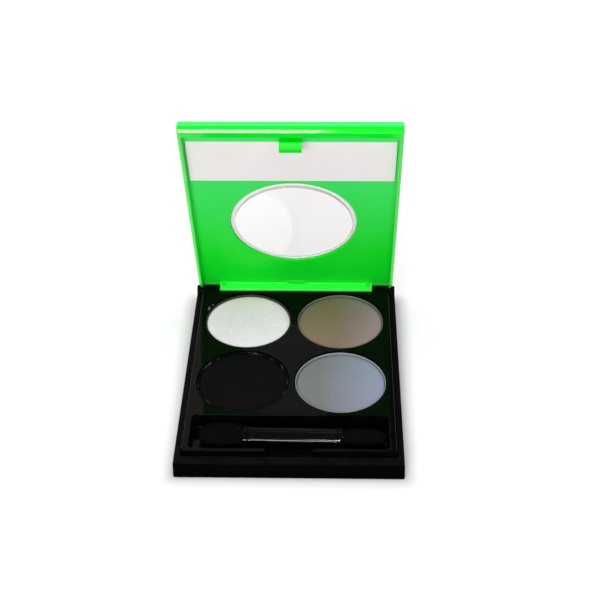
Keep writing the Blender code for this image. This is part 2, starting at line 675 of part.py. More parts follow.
def build_palette():
    """Make every piece of the palette."""
    clear_scene()
    finishes = make_finishes()
    hinge = carrier_at("lid_hinge_line", HINGE, (-LID_OPEN_ANGLE, 0.0, 0.0))
    seat = carrier_at("applicator_seat", HANDLE_SEAT, (0.0, 0.0, HANDLE_SKEW))
    build_base(finishes["gloss_black"])
    build_tray(finishes["gloss_black"])
    for shade in SHADES:
        build_pan(shade, finishes)
    build_lid(finishes["fluorescent_green"], hinge)
    build_window(finishes["clear_window"], hinge)
    build_mirror(finishes, hinge)
    build_pins(finishes["steel"])
    build_handle(finishes["satin_black"], seat)
    paddle = (PADDLE_WIDTH, PADDLE_THICKNESS)
    sponge_tip("sponge_tip_left", -1, paddle, (PADDLE_PEAK, PADDLE_ROUND), finishes["black_sponge"], seat)
    point = (POINT_WIDTH, POINT_THICKNESS)
    sponge_tip("sponge_tip_right", 1, point, (POINT_PEAK, POINT_ROUND), finishes["black_sponge"], seat)


build_palette()
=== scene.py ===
"""Eyeshadow palette: the finished look of every piece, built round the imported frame.

Metres, +Z up, front towards -Y. Pieces of the lid are drawn shut and then swung open.
"""

import json
from functools import partial
from math import cos, pi, radians, sin

import bmesh
import bpy
from bpy.props import FloatProperty, FloatVectorProperty, IntProperty, PointerProperty
from mathutils import Matrix, Vector


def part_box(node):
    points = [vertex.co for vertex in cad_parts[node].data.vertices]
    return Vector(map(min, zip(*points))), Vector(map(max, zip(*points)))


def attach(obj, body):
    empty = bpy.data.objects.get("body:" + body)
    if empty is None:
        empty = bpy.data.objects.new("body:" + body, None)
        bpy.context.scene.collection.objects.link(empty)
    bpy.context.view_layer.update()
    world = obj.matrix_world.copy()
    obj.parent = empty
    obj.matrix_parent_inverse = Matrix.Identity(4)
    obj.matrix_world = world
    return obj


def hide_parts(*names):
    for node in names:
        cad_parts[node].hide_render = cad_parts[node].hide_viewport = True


bl_info = {
    "name": "Eyeshadow palette",
    "version": (1, 0, 0),
    "blender": (4, 5, 0),
    "location": "View3D > Sidebar > Palette",
    "description": "Builds a four-pan eyeshadow palette with its applicator, and a plain studio",
    "category": "Object",
}

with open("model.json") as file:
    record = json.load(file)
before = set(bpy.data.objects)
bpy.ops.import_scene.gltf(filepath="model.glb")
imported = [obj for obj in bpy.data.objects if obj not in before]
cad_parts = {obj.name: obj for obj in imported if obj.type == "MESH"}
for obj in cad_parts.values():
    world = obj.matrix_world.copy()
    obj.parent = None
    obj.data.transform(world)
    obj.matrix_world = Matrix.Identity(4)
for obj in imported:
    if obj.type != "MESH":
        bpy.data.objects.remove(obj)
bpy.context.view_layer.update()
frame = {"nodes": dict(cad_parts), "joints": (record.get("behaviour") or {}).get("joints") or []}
MM = 0.001
BASE_LOW, BASE_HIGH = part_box("base_shell")
TRAY_LOW, TRAY_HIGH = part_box("pan_tray")
WHITE_LOW, WHITE_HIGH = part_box("pan_white")
PAN_RADIUS = (WHITE_HIGH[0] - WHITE_LOW[0]) / 2
HINGE = Vector(next(j["pos_m"] for j in frame["joints"] if j["name"] == "lid_hinge"))
SHADES = ("white", "taupe", "black", "silver")
HANDLE = "applicator_handle_moulding"
LIGHT_AIM = Vector((0.0, 0.0, 0.03))

ROUND_STEPS = 128
SMALL_STEPS = 48
CAKE_STEPS = 160
CAKE_RINGS = 56
HANDLE_STEPS = 96
TIP_STEPS = 120
TIP_RINGS = 72
ARC_STEPS = 8
LIP_STEPS = 6
CORNER_STEPS = 8
EDGE_STEPS = 5
CLEAR = 2.0 * MM
LEAST_CORNER = 0.02 * MM
WELD = 0.002 * MM
SOFT_EDGE = 0.1 * MM
LID_EDGE = 0.12 * MM
FINE_EDGE = 0.08 * MM
RIPPLE = 0.02 * MM
CRUMBS_PER_AREA = 9.0e6
CRUMB_LIFT = 0.012 * MM
CRUMB_PATCH = ((-13.2, 3.4), (-12.1, 6.2), (-11.4, 7.6), (-13.0, 6.0))
CAKE_SPACING = 1.6
CAKE_TOP = 0.45
GRAIN_SHIFT = 0.1
HANDLE_STATIONS = (0.0, 0.25, 0.5, 0.75, 0.97)
NECK_MARGIN = 1.2
BORE_MARGIN = 1.01
FLOOR_HALF = 6.0
SENSOR = 36.0
SIDES = (-1, 1)
EVEN = (1.0, 1.0, 1.0)
FLAKE = (0.95, 0.96, 1.0)
SMOOTH_ANGLE = radians(38.0)
BEVEL_ANGLE = radians(46.0)
FLAT_ANGLE = radians(0.5)


def length(name, description, size):
    """A length in millimetres as a property in metres."""
    return FloatProperty(name=name, description=description, default=size * MM, unit="LENGTH", precision=5)


def colour(name, description, red, green, blue):
    """A linear colour property."""
    return FloatVectorProperty(name=name, description=description, default=(red, green, blue),
                               subtype="COLOR", min=0.0, max=1.0)


def share(name, description, value):
    """A share between nought and one."""
    return FloatProperty(name=name, description=description, default=value, min=0.0, max=1.0,
                         subtype="FACTOR")


def number(name, description, value):
    """A plain number."""
    return FloatProperty(name=name, description=description, default=value)


def angle(name, description, degrees):
    """An angle in degrees as a property in radians."""
    return FloatProperty(name=name, description=description, default=radians(degrees), subtype="ANGLE")


def spot(name, description, *place):
    """A place in millimetres as a property in metres."""
    return FloatVectorProperty(name=name, description=description, subtype="TRANSLATION",
                               default=[part * MM for part in place], precision=5)


class PaletteBaseSizes(bpy.types.PropertyGroup):
    """Sizes of the base, the tray and the pans."""

    ledge_height: length("Ledge height", "Top of the ledge that the lid shuts on", 5.4)
    floor: length("Floor", "Thickness under the tray", 1.2)
    side_wall: length("Side wall", "Wall beside the tray", 2.0)
    front_wall: length("Front wall", "Wall before the tray", 3.1)
    rear_wall: length("Rear wall", "Wall behind the tray", 3.6)
    taper: length("Taper", "How far the walls lean in", 0.15)
    corner: length("Corner", "Radius of the upright corners", 0.5)
    shoulder: length("Shoulder", "Rounding of the ledge's outer edge", 0.5)
    foot_edge: length("Foot edge", "Rounding of the lower edge", 0.35)
    mouth_edge: length("Mouth edge", "Rounding of the ledge's inner edge", 0.2)
    ear_width: length("Ear width", "Hinge ear, from the base's side inwards", 7.5)
    ear_radius: length("Ear radius", "Round top of a hinge ear", 1.6)
    ear_inset: length("Ear inset", "Ear set in from the base's side", 0.25)
    ear_edge: length("Ear edge", "Rounding of an ear's ends", 0.15)
    notch_floor: length("Notch floor", "Height of the rear wall under the tongue", 3.24)
    bore: length("Pin bore", "Radius of the bore for a hinge pin", 0.7)
    keeper_half: length("Keeper half width", "Half of the slot that takes the catch's nose", 3.45)
    keeper_depth: length("Keeper depth", "How far the slot goes into the front wall", 0.55)
    keeper_low: length("Keeper bottom", "Lower edge of the slot", 2.6)
    keeper_high: length("Keeper top", "Upper edge of the slot", 4.3)
    deck_edge: length("Deck edge", "Rounding of the deck's outer edge", 0.3)
    deck: length("Deck", "Thickness of the deck", 1.2)
    skirt: length("Skirt", "Thickness of the tray's skirt", 1.0)
    tray_corner: length("Tray corner", "Radius of the tray's corners", 0.8)
    cup_gap: length("Cup gap", "Gap between a pan and its cup", 0.35)
    cup_edge: length("Cup edge", "Rounding of a cup's mouth", 0.2)
    cup_bottom: length("Cup bottom", "Height of a cup's floor", 3.5)
    cup_wall: length("Cup wall", "Wall and floor of a cup under the deck", 1.0)
    trough_front: length("Trough front", "Wall before the trough", 1.0)
    trough_end: length("Trough end", "Wall at each end of the trough", 1.9)
    trough_width: length("Trough width", "Trough, from front to rear", 13.3)
    trough_bed: length("Trough bed", "Height of the trough's floor", 2.4)
    trough_corner: length("Trough corner", "Radius of the trough's corners", 1.6)
    trough_fillet: length("Trough fillet", "Rounding along the trough's floor", 0.6)
    recess_half: length("Recess half width", "Half of the gap for the catch in the front rim", 6.65)
    recess_sill: length("Recess sill", "Height of that gap's sill", 2.8)
    pan_wall: length("Pan wall", "Thickness of the drawn metal", 0.25)
    pan_foot: length("Pan foot", "Rounding at the foot of a pan", 0.6)
    powder_fill: length("Powder fill", "How far the cake stands up to the pan's rim", 0.25)
    powder_crown: length("Powder crown", "How far the cake swells in the middle", 0.15)
    powder_edge: length("Powder edge", "Rounding of the cake's edge", 0.35)
    powder_grain: length("Powder grain", "Height of the pressed grain", 0.035)
    crumb: length("Crumb", "Largest radius of a loose powder crumb", 0.16)


class PaletteLidSizes(bpy.types.PropertyGroup):
    """Sizes of the lid, its window and its mirror, with the lid drawn shut."""

    open_angle: angle("Open angle", "How far the lid stands open at rest", 70.8)
    half: length("Half width", "Half of the lid's width", 31.05)
    front: length("Front", "Distance of the front edge before the middle", 39.6)
    rear: length("Rear", "Distance of the tongue's rear behind the middle", 39.5)
    tail: length("Tail", "Panel behind the hinge line beside the tongue", 0.4)
    rim: length("Rim", "Height of the rim", 5.7)
    top: length("Top", "Height of the outer face", 9.9)
    inside: length("Inside", "Height of the inner face", 8.1)
    side_wall: length("Side wall", "Thickness of the side rims", 1.2)
    front_wall: length("Front wall", "Thickness of the front rim", 2.75)
    corner: length("Corner", "Radius of the upright corners", 0.45)
    top_edge: length("Top edge", "Rounding of the outer face", 1.2)
    rim_edge: length("Rim edge", "Blunted outer edge of the rim", 0.85)
    rim_blunt: number("Rim bluntness", "2 is a round rim edge, 1 a flat chamfer", 1.06)
    inner_edge: length("Inner edge", "Rounding along the inner face", 0.3)
    knuckle: length("Knuckle", "Radius of the tongue about the pins", 1.3)
    tongue_half: length("Tongue half width", "Half of the tongue's width", 24.45)
    ear_room: length("Ear room", "Swing gap before a hinge ear", 2.1)
    gusset: length("Gusset", "Thickness of a gusset", 1.0)
    gusset_inset: length("Gusset inset", "Gusset in from the tongue's end", 0.8)
    gusset_reach: length("Gusset reach", "How far a gusset runs along the panel", 1.0)
    pad_half: length("Pad half width", "Half of the small pad by the tongue", 2.7)
    pad_reach: length("Pad reach", "Pad from the tongue along the panel", 1.4)
    pad_height: length("Pad height", "Height of the pad", 0.4)
    bore: length("Pin bore", "Radius of the tongue's bore", 0.75)
    pin_reach: length("Pin reach", "Depth of the tongue's bore", 4.65)
    catch_half: length("Catch half width", "Half of the catch's width", 3.15)
    catch_setback: length("Catch setback", "Catch behind the lid's front", 3.9)
    catch_depth: length("Catch thickness", "Thickness of the catch", 2.3)
    catch_tip: length("Catch tip", "Height of the catch's tip", 2.9)
    catch_nose: length("Catch nose", "Nose before the catch's front", 1.45)
    catch_nose_height: length("Nose height", "Height of the nose", 1.1)
    window: length("Window", "Radius of the window's hole", 19.05)
    window_y: length("Window place", "Window's middle behind the lid's middle", 5.1)
    rebate: length("Rebate", "Width of the rebate round the hole", 0.7)
    rebate_depth: length("Rebate depth", "Depth of the rebate", 0.8)
    window_edge: length("Window edge", "Rounding of the hole's inner edge", 0.35)
    lens_gap: length("Lens gap", "Gap round the lens", 0.15)
    lens_seat: length("Lens seat", "Gap under the lens's flange", 0.1)
    lens_ring: length("Lens ring", "Width of the sunk ring round the lens", 1.15)
    lens_step: length("Lens step", "Depth of that ring", 0.9)
    lens_proud: length("Lens proud", "Lens face before the inner face", 0.25)
    mirror_front: length("Mirror front", "Front edge of the mirror before the middle", 32.4)
    mirror_rear: length("Mirror rear", "Rear edge of the mirror before the middle", 15.3)
    mirror_half: length("Mirror half width", "Half of the mirror's width", 29.5)
    mirror_corner: length("Mirror corner", "Radius of the mirror's corners", 0.25)
    mirror_low: length("Mirror face", "Height of the mirror's face", 8.1)
    mirror_top: length("Mirror back", "Height of the mirror's back", 8.7)
    mirror_gap: length("Mirror gap", "Gap round the mirror in its pocket", 0.15)
    pocket: length("Pocket", "Height of the pocket's floor", 9.0)


class PaletteApplicatorSizes(bpy.types.PropertyGroup):
    """Sizes of the applicator, along its own line."""

    seat: spot("Seat", "Middle of the handle", 0.85, -28.1, 4.8)
    skew: angle("Skew", "Turn of the handle in its trough", -1.0)
    half: length("Half length", "Half of the handle's length", 14.0)
    width: length("Width", "Handle, from front to rear", 6.0)
    thickness: length("Thickness", "Handle, from top to bottom", 3.9)
    collar: length("Collar length", "Length of a collar", 2.7)
    collar_thickness: length("Collar thickness", "Collar, from top to bottom", 4.2)
    groove: length("Groove", "Groove round a collar", 0.25)
    neck: length("Neck", "Radius of the neck inside a sponge", 0.9)
    neck_length: length("Neck length", "Length of a neck", 7.0)
    tip_gap: length("Tip gap", "Gap between a sponge and its collar", 0.3)
    tip_length: length("Tip length", "Length of a sponge tip", 12.4)
    tip_lip: length("Tip lip", "Rounding of a sponge's mouth", 0.25)
    tip_lead: length("Tip lead", "How far that rounding runs into the bore", 0.4)
    tip_mouth: share("Tip mouth", "How full a sponge is at its mouth", 0.8)
    paddle_width: length("Paddle width", "Left sponge, from front to rear", 9.4)
    paddle_thickness: length("Paddle thickness", "Left sponge, from top to bottom", 4.2)
    paddle_peak: share("Paddle peak", "Where the left sponge is fullest", 0.45)
    paddle_round: number("Paddle roundness", "How bluntly the left sponge ends", 2.2)
    point_width: length("Point width", "Right sponge, from front to rear", 5.8)
    point_thickness: length("Point thickness", "Right sponge, from top to bottom", 3.8)
    point_peak: share("Point peak", "Where the right sponge is fullest", 0.3)
    point_round: number("Point roundness", "How bluntly the right sponge ends", 2.6)
    foam: length("Foam", "Height of the foam's surface", 0.05)
    fill: share("Fill", "How tight the sponges are", 0.8)


class PaletteColours(bpy.types.PropertyGroup):
    """Colours of the finishes."""

    black: colour("Gloss black", "Tray and handle", 0.0014, 0.0013, 0.0014)
    shell: colour("Shell black", "Base shell", 0.0042, 0.0036, 0.0038)
    green: colour("Fluorescent green", "Lid", 0.003, 0.79, 0.02)
    # Painted highlight: this brighter green stands in for light on the lid's tongue.
    tongue: colour("Tongue green", "Thick tongue of the lid", 0.02, 1.0, 0.055)
    # Painted sheen: this paler green stands in for gloss haze on the upper inner face.
    glow: colour("Pale green", "Lid's inner face by its free edge", 0.05, 0.76, 0.145)
    # Painted reflection: this pale grey stands in for the mirror's reflection of bright surroundings.
    film: colour("Mirror film", "Mirror strip under its film", 0.868, 0.83, 0.85)
    lens: colour("Clear window", "Window lens", 0.975, 0.94, 0.96)
    tin: colour("Tin", "Drawn pans", 0.4, 0.39, 0.38)
    steel: colour("Steel", "Hinge pins", 0.3, 0.3, 0.31)
    white: colour("White powder", "Rear left shade", 0.72, 0.676, 0.743)
    # Painted light: a redder tone at the rear of the pan offsets the green light bounced there from the lid.
    white_rear_painted_light: colour("White powder, rear", "Its warmer tone at the rear", 0.9, 0.68, 0.76)
    taupe: colour("Taupe powder", "Rear right shade", 0.228, 0.152, 0.108)
    # Painted light: a lighter, pinker tone towards the right stands in for the cool light from that side.
    taupe_right_painted_light: colour("Taupe powder, right", "Its pearl at the right", 0.35, 0.235, 0.28)
    coal: colour("Black powder", "Front left shade", 0.0035, 0.003, 0.004)
    silver: colour("Silver powder", "Front right shade", 0.172, 0.173, 0.188)
    # Painted light: a lighter, bluer tone towards the right stands in for the cool light from that side.
    silver_right_painted_light: colour("Silver powder, right", "Its pearl at the right", 0.31, 0.318, 0.47)
    sponge: colour("Sponge", "Applicator tips", 0.0018, 0.0017, 0.0019)
    glue: colour("Glue", "Glue under the pans", 0.72, 0.68, 0.55)
    tape: colour("Tape", "Tape behind the mirror", 0.8, 0.8, 0.77)
    floor: colour("Floor", "Studio floor", 0.62, 0.62, 0.62)
    key: colour("Key light", "Large light at the left", 1.0, 0.965, 0.9)
    cool: colour("Cool light", "Glint on the handle", 0.72, 0.84, 1.0)
    soft: colour("Soft light", "Broad lights before and above", 1.0, 1.0, 1.0)


class PaletteStage(bpy.types.PropertyGroup):
    """The camera and the lights."""

    eye: spot("Eye", "Camera's place", 11.3093, -280.8997, 247.0216)
    pitch: angle("Pitch", "How far the camera looks down", 37.492)
    yaw: angle("Yaw", "Camera's turn to the right", -1.796)
    roll: angle("Roll", "Camera's roll", -0.742)
    lens: number("Lens", "Focal length on a 36 mm sensor", 74.3414)
    sky: number("Sky", "Strength of the even light from all round", 0.3)
    gloss_sky: number("Sky in gloss", "Strength of the backdrop overhead, as polished faces show it", 0.12)
    # Painted shade: the lift is left out right beside the palette, which darkens the floor round its foot.
    lift: number("Floor lift", "White added to the floor beside the palette", 0.32)
    far_lift: number("Far lift", "White added to the floor far away", 0.5)
    through: number("Floor through glass", "More white added where glass shows it", 0.04)
    key_power: number("Key power", "Watts of the key light", 2.8)
    cool_power: number("Cool power", "Watts of the cool light", 3.0)
    fill_power: number("Fill power", "Watts of the broad front light", 4.8)
    top_power: number("Top power", "Watts of the broad top light", 8.6)
    card_power: number("Card power", "Watts of the card behind at the left", 0.5)
    seed: IntProperty(name="Seed", description="Seed of the powder crumbs", default=4)


# Shapes


def ring(half, front, rear, radius, z):
    """A rectangle with round corners at one height, anticlockwise from above."""
    radius = max(radius, LEAST_CORNER)
    corners = ((half - radius, rear - radius), (radius - half, rear - radius),
               (radius - half, front + radius), (half - radius, front + radius))
    points = []
    for index, (x, y) in enumerate(corners):
        for step in range(CORNER_STEPS + 1):
            turn = (index + step / CORNER_STEPS) * pi / 2
            points.append((x + radius * cos(turn), y + radius * sin(turn), z))
    return points


def inset_ring(half, front, rear, radius, inset, z):
    """The same rectangle drawn in, or let out by a negative inset."""
    return ring(half - inset, front + inset, rear - inset, radius - inset, z)


def quarter(size, bluntness=2.0):
    """Steps of a quarter round: how far along it, and how far across. Bluntness 1 makes it a chamfer."""
    power = 2.0 / bluntness
    for step in range(EDGE_STEPS + 1):
        turn = step / EDGE_STEPS * pi / 2
        yield size * sin(turn) ** power, size * (1 - cos(turn) ** power)


def lower_edge(low, edge, bluntness=2.0):
    """Insets and heights round a lower edge, or the one step of a sharp edge."""
    if not edge:
        return [(0.0, low)]
    return [(edge - along, low + across) for along, across in quarter(edge, bluntness)]


def loft(rings):
    """A closed solid through rings of equal count, capped at both ends."""
    shape = bmesh.new()
    loops = [[shape.verts.new(point) for point in points] for points in rings]
    for lower, upper in zip(loops, loops[1:]):
        for index in range(len(lower)):
            after = (index + 1) % len(lower)
            shape.faces.new((lower[index], lower[after], upper[after], upper[index]))
    shape.faces.new(tuple(reversed(loops[0])))
    shape.faces.new(tuple(loops[-1]))
    return shape


def slab(half, front, rear, corner, low, high, low_edge=0.0, high_edge=0.0, taper=0.0, bluntness=2.0):
    """A round-cornered block whose lower and upper edges may be rounded over."""
    rings = lower_edge(low, low_edge, bluntness)
    if high_edge:
        rings += [(taper + across, high - high_edge + along) for along, across in quarter(high_edge)]
    else:
        rings.append((taper, high))
    return loft([inset_ring(half, front, rear, corner, inset, z) for inset, z in rings])


def opening(half, front, rear, corner, low, high, edge, fillet=0.0):
    """A cutter with a flared mouth and a filleted floor, so that it leaves rounded edges."""
    rings = lower_edge(low, fillet)
    rings += [(-across, high - edge + along) for along, across in quarter(edge)]
    rings.append((-edge, high + CLEAR))
    return loft([inset_ring(half, front, rear, corner, inset, z) for inset, z in rings])


def block(x_span, y_span, z_span):
    """A plain box between two corners."""
    low = Vector((x_span[0], y_span[0], z_span[0]))
    high = Vector((x_span[1], y_span[1], z_span[1]))
    middle = Matrix.Translation((low + high) / 2)
    shape = bmesh.new()
    bmesh.ops.create_cube(shape, size=1.0, matrix=middle @ Matrix.Diagonal((*(high - low), 1.0)))
    return shape


def turned(profile, centre=(0.0, 0.0), steps=ROUND_STEPS):
    """A solid turned about an upright line, from (radius, height) points that start and end on it."""
    shape = bmesh.new()
    x, y = centre
    rings = []
    for radius, z in profile:
        if radius == 0.0:
            rings.append([shape.verts.new((x, y, z))] * steps)
            continue
        turns = [2 * pi * step / steps for step in range(steps)]
        rings.append([shape.verts.new((x + radius * cos(turn), y + radius * sin(turn), z)) for turn in turns])
    for lower, upper in zip(rings, rings[1:]):
        for index in range(steps):
            after = (index + 1) % steps
            corners = (lower[index], lower[after], upper[after], upper[index])
            shape.faces.new(tuple(dict.fromkeys(corners)))
    return shape


def hinge_rod(radius, x_from, x_to):
    """A cylinder on the hinge line."""
    low, high = sorted((x_from, x_to))
    shape = turned([(0.0, low), (radius, low), (radius, high), (0.0, high)], steps=SMALL_STEPS)
    lie = Matrix.Translation((0.0, HINGE.y, HINGE.z)) @ Matrix.Rotation(pi / 2, 4, "Y")
    bmesh.ops.transform(shape, matrix=lie, verts=shape.verts)
    return shape


def prism(outline, x_from, x_to):
    """An outline of (y, z) points carried along X."""
    return loft([[(x, y, z) for y, z in outline] for x in sorted((x_from, x_to))])


def as_object(name, shape):
    """A plain object from a shape, with its faces outwards."""
    bmesh.ops.recalc_face_normals(shape, faces=shape.faces)
    mesh = bpy.data.meshes.new(name)
    shape.to_mesh(mesh)
    shape.free()
    thing = bpy.data.objects.new(name, mesh)
    bpy.context.scene.collection.objects.link(thing)
    return thing


def settle(thing):
    """Turn an object and its modifiers into a plain mesh of its own."""
    graph = bpy.context.evaluated_depsgraph_get()
    mesh = bpy.data.meshes.new_from_object(thing.evaluated_get(graph), preserve_all_data_layers=True,
                                           depsgraph=graph)
    if not mesh.polygons:
        raise RuntimeError(f"{thing.name} came out empty")
    old = thing.data
    thing.modifiers.clear()
    thing.data = mesh
    bpy.data.meshes.remove(old)
    mesh.name = thing.name
    return thing


def worked(name, shape, *steps):
    """Cut and join a shape step by step; each step is an operation and a tool shape."""
    thing = as_object(name, shape)
    tools = []
    for operation, tool_shape in steps:
        tool = as_object("tool", tool_shape)
        change = thing.modifiers.new("step", "BOOLEAN")
        change.operation = operation
        change.object = tool
        tools.append(tool)
    settle(thing)
    for tool in tools:
        mesh = tool.data
        bpy.data.objects.remove(tool)
        bpy.data.meshes.remove(mesh)
    return thing


def finished(thing, finish, body, nodes, soften=0.0, move=None):
    """Soften the last sharp edges, shade the piece, give it its finish and let it stand for its nodes."""
    mesh = thing.data
    if move:
        mesh.transform(move)
    shape = bmesh.new()
    shape.from_mesh(mesh)
    bmesh.ops.remove_doubles(shape, verts=shape.verts, dist=WELD)
    bmesh.ops.dissolve_degenerate(shape, dist=WELD, edges=shape.edges)
    if soften:
        bmesh.ops.dissolve_limit(shape, angle_limit=FLAT_ANGLE, verts=shape.verts, edges=shape.edges)
        bmesh.ops.triangulate(shape, faces=[face for face in shape.faces if len(face.verts) > 4])
        weight = shape.edges.layers.float.new("bevel_weight_edge")
        for edge in shape.edges:
            sharp = edge.calc_face_angle(0.0) > BEVEL_ANGLE
            edge[weight] = float(sharp and edge.calc_length() > 4 * soften)
    shape.to_mesh(mesh)
    shape.free()
    if soften:
        edge = thing.modifiers.new("soft edge", "BEVEL")
        edge.width = soften
        edge.segments = 2
        edge.limit_method = "WEIGHT"
        edge.use_clamp_overlap = False
        edge.loop_slide = False
        settle(thing)
        mesh = thing.data
    mesh.shade_smooth()
    mesh.set_sharp_from_angle(angle=SMOOTH_ANGLE)
    even = thing.modifiers.new("even shading", "WEIGHTED_NORMAL")
    even.weight = 100
    even.keep_sharp = True
    settle(thing)
    thing.data.materials.clear()
    thing.data.materials.append(finish)
    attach(thing, body)
    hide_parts(*nodes)
    return thing


# Finishes


def add(tree, kind, inputs=None, **settings):
    """A node with its settings, and values or links on its inputs."""
    node = tree.nodes.new(kind)
    for key, value in settings.items():
        setattr(node, key, value)
    for key, value in (inputs or {}).items():
        if isinstance(value, bpy.types.NodeSocket):
            tree.links.new(value, node.inputs[key])
        else:
            node.inputs[key].default_value = value
    return node


def figure(tree, operation, *values):
    """One arithmetic step on fields."""
    return add(tree, "ShaderNodeMath", dict(enumerate(values)), operation=operation).outputs["Value"]


def vector(tree, operation, *values):
    """One step on vectors; a length or a dot product gives a number."""
    node = add(tree, "ShaderNodeVectorMath", dict(enumerate(values)), operation=operation)
    return node.outputs["Value" if operation in ("LENGTH", "DOT_PRODUCT") else "Vector"]


def own_place(tree):
    """The piece's own coordinates."""
    return add(tree, "ShaderNodeTexCoord").outputs["Object"]


def axes(tree):
    """The piece's own coordinates, one by one."""
    return add(tree, "ShaderNodeSeparateXYZ", {"Vector": own_place(tree)}).outputs


def new_finish(name, **constants):
    """A Principled material with its constant sockets set."""
    finish = bpy.data.materials.new(name)
    finish.use_nodes = True
    shader = finish.node_tree.nodes["Principled BSDF"]
    for key, value in constants.items():
        shader.inputs[key.replace("_", " ")].default_value = value
    return finish, finish.node_tree, shader


def wire(tree, shader, **fields):
    """Link fields to a shader's sockets."""
    for key, field in fields.items():
        tree.links.new(field, shader.inputs[key.replace("_", " ")])


def grain(tree, scale, detail=3.0, roughness=0.55, stretch=EVEN):
    """Noise on the piece's own coordinates, as a value."""
    mapped = add(tree, "ShaderNodeMapping", {"Vector": own_place(tree), "Scale": stretch})
    noise = add(tree, "ShaderNodeTexNoise", {"Vector": mapped.outputs["Vector"], "Scale": scale,
                                             "Detail": detail, "Roughness": roughness})
    return noise.outputs["Fac"]


def cells(tree, scale):
    """Distance to the nearest middle of a cell pattern on the piece's own coordinates."""
    return add(tree, "ShaderNodeTexVoronoi", {"Vector": own_place(tree), "Scale": scale}).outputs["Distance"]


def spread(tree, value, low, high, start=0.3, end=0.7):
    """A value spread over a new span."""
    return add(tree, "ShaderNodeMapRange", {"Value": value, "From Min": start, "From Max": end,
                                            "To Min": low, "To Max": high}).outputs["Result"]


def shaded(tree, value, *stops):
    """A colour from a value, between two (place, colour) stops."""
    ramp = add(tree, "ShaderNodeValToRGB", {"Fac": value})
    for stop, (place, tone) in zip(ramp.color_ramp.elements, stops):
        stop.position = place
        stop.color = (*tone, 1.0)
    return ramp.outputs["Color"]


def toned(tone, factor):
    """A colour made lighter or darker."""
    return tuple(min(1.0, part * factor) for part in tone)


def mottled(tree, tone, dark, light, *noise):
    """A colour that wanders between a darker and a lighter tone of itself."""
    return shaded(tree, grain(tree, *noise), (0.3, toned(tone, dark)), (0.7, toned(tone, light)))


def blended(tree, amount, first, second):
    """A mix of two colours, each a value or a link."""
    mixed = add(tree, "ShaderNodeMix", {"Factor": amount}, data_type="RGBA")
    for key, tone in (("A", first), ("B", second)):
        socket = next(s for s in mixed.inputs if s.name == key and s.type == "RGBA")
        if isinstance(tone, bpy.types.NodeSocket):
            tree.links.new(tone, socket)
        else:
            socket.default_value = (*tone, 1.0)
    return next(s for s in mixed.outputs if s.type == "RGBA")


def raised(tree, shader, height, strength, distance=RIPPLE):
    """Bump on a shader from a height."""
    bump = add(tree, "ShaderNodeBump", {"Height": height, "Strength": strength, "Distance": distance})
    wire(tree, shader, Normal=bump.outputs["Normal"])


def gloss_black(name, tone, gloss, smear, painted_shade_height=None, clean=None):
    """Polished black with wipe marks and ripple: painted shade darkens it below a given height, and it is
    dull behind a clean front.
    """
    finish, tree, shader = new_finish(name, Specular_IOR_Level=gloss)
    base = mottled(tree, tone, 0.7, 1.3, 260.0)
    # Painted shade: below the given height the colour is darkened to a fifth.
    if painted_shade_height:
        dark = spread(tree, axes(tree)["Z"], 1.0, 0.0, painted_shade_height - 0.4 * MM, painted_shade_height)
        base = blended(tree, dark, base, toned(tone, 0.2))
    if clean:
        shine = spread(tree, axes(tree)["Y"], gloss, 0.15 * gloss, clean - 1.5 * MM, clean)
        wire(tree, shader, Specular_IOR_Level=shine)
    marks = grain(tree, 150.0, 5.0, stretch=smear)
    wire(tree, shader, Base_Color=base, Roughness=spread(tree, marks, 0.04, 0.11))
    raised(tree, shader, grain(tree, 700.0, 2.0), 0.06)
    return finish


def inwards(sizes):
    """The way the open lid's inner face looks."""
    return Vector((0.0, -sin(sizes.open_angle), -cos(sizes.open_angle)))


def lid_green(tones, sizes):
    """Fluorescent green: polished rims, a satin face with a painted pale sheen towards its free edge, and a
    tongue painted brighter as a painted highlight.
    """
    finish, tree, shader = new_finish("fluorescent_green")
    facing = inwards(sizes)
    rising = Vector((0.0, facing.z, -facing.y))
    panel = HINGE.dot(facing) + HINGE.z - sizes.inside
    root = HINGE.dot(rising) + sizes.knuckle
    depth = vector(tree, "DOT_PRODUCT", own_place(tree), facing)
    inner = spread(tree, depth, 1.0, 0.0, panel + 0.3 * MM, panel + 0.6 * MM)
    along = vector(tree, "DOT_PRODUCT", own_place(tree), rising)
    # Painted highlight: the tongue gets a brighter green as if lit; the same mask makes it satin.
    tongue_highlight_and_satin = spread(tree, along, 1.0, 0.0, root, root + 0.4 * MM)
    # Painted sheen: the inner face is mixed towards the pale green higher up, in place of a reflected haze.
    pale = figure(tree, "MULTIPLY", inner, spread(tree, axes(tree)["Z"], 0.0, 1.0, 25 * MM, 62 * MM))
    cloud = shaded(tree, grain(tree, 55.0, 2.0), (0.25, toned(tones.green, 0.93)),
                   (0.75, toned(tones.green, 1.05)))
    body = blended(tree, pale, cloud, tones.glow)
    satin = figure(tree, "MAXIMUM", inner, tongue_highlight_and_satin)
    polish = spread(tree, grain(tree, 220.0, 4.0), 0.05, 0.09)
    wire(tree, shader, Base_Color=blended(tree, tongue_highlight_and_satin, body, tones.tongue),
         Roughness=figure(tree, "MULTIPLY_ADD", satin, 0.3, polish),
         Specular_IOR_Level=spread(tree, inner, 0.5, 0.3, 0.0, 1.0))
    raised(tree, shader, grain(tree, 2600.0, 2.0), 0.05)
    return finish


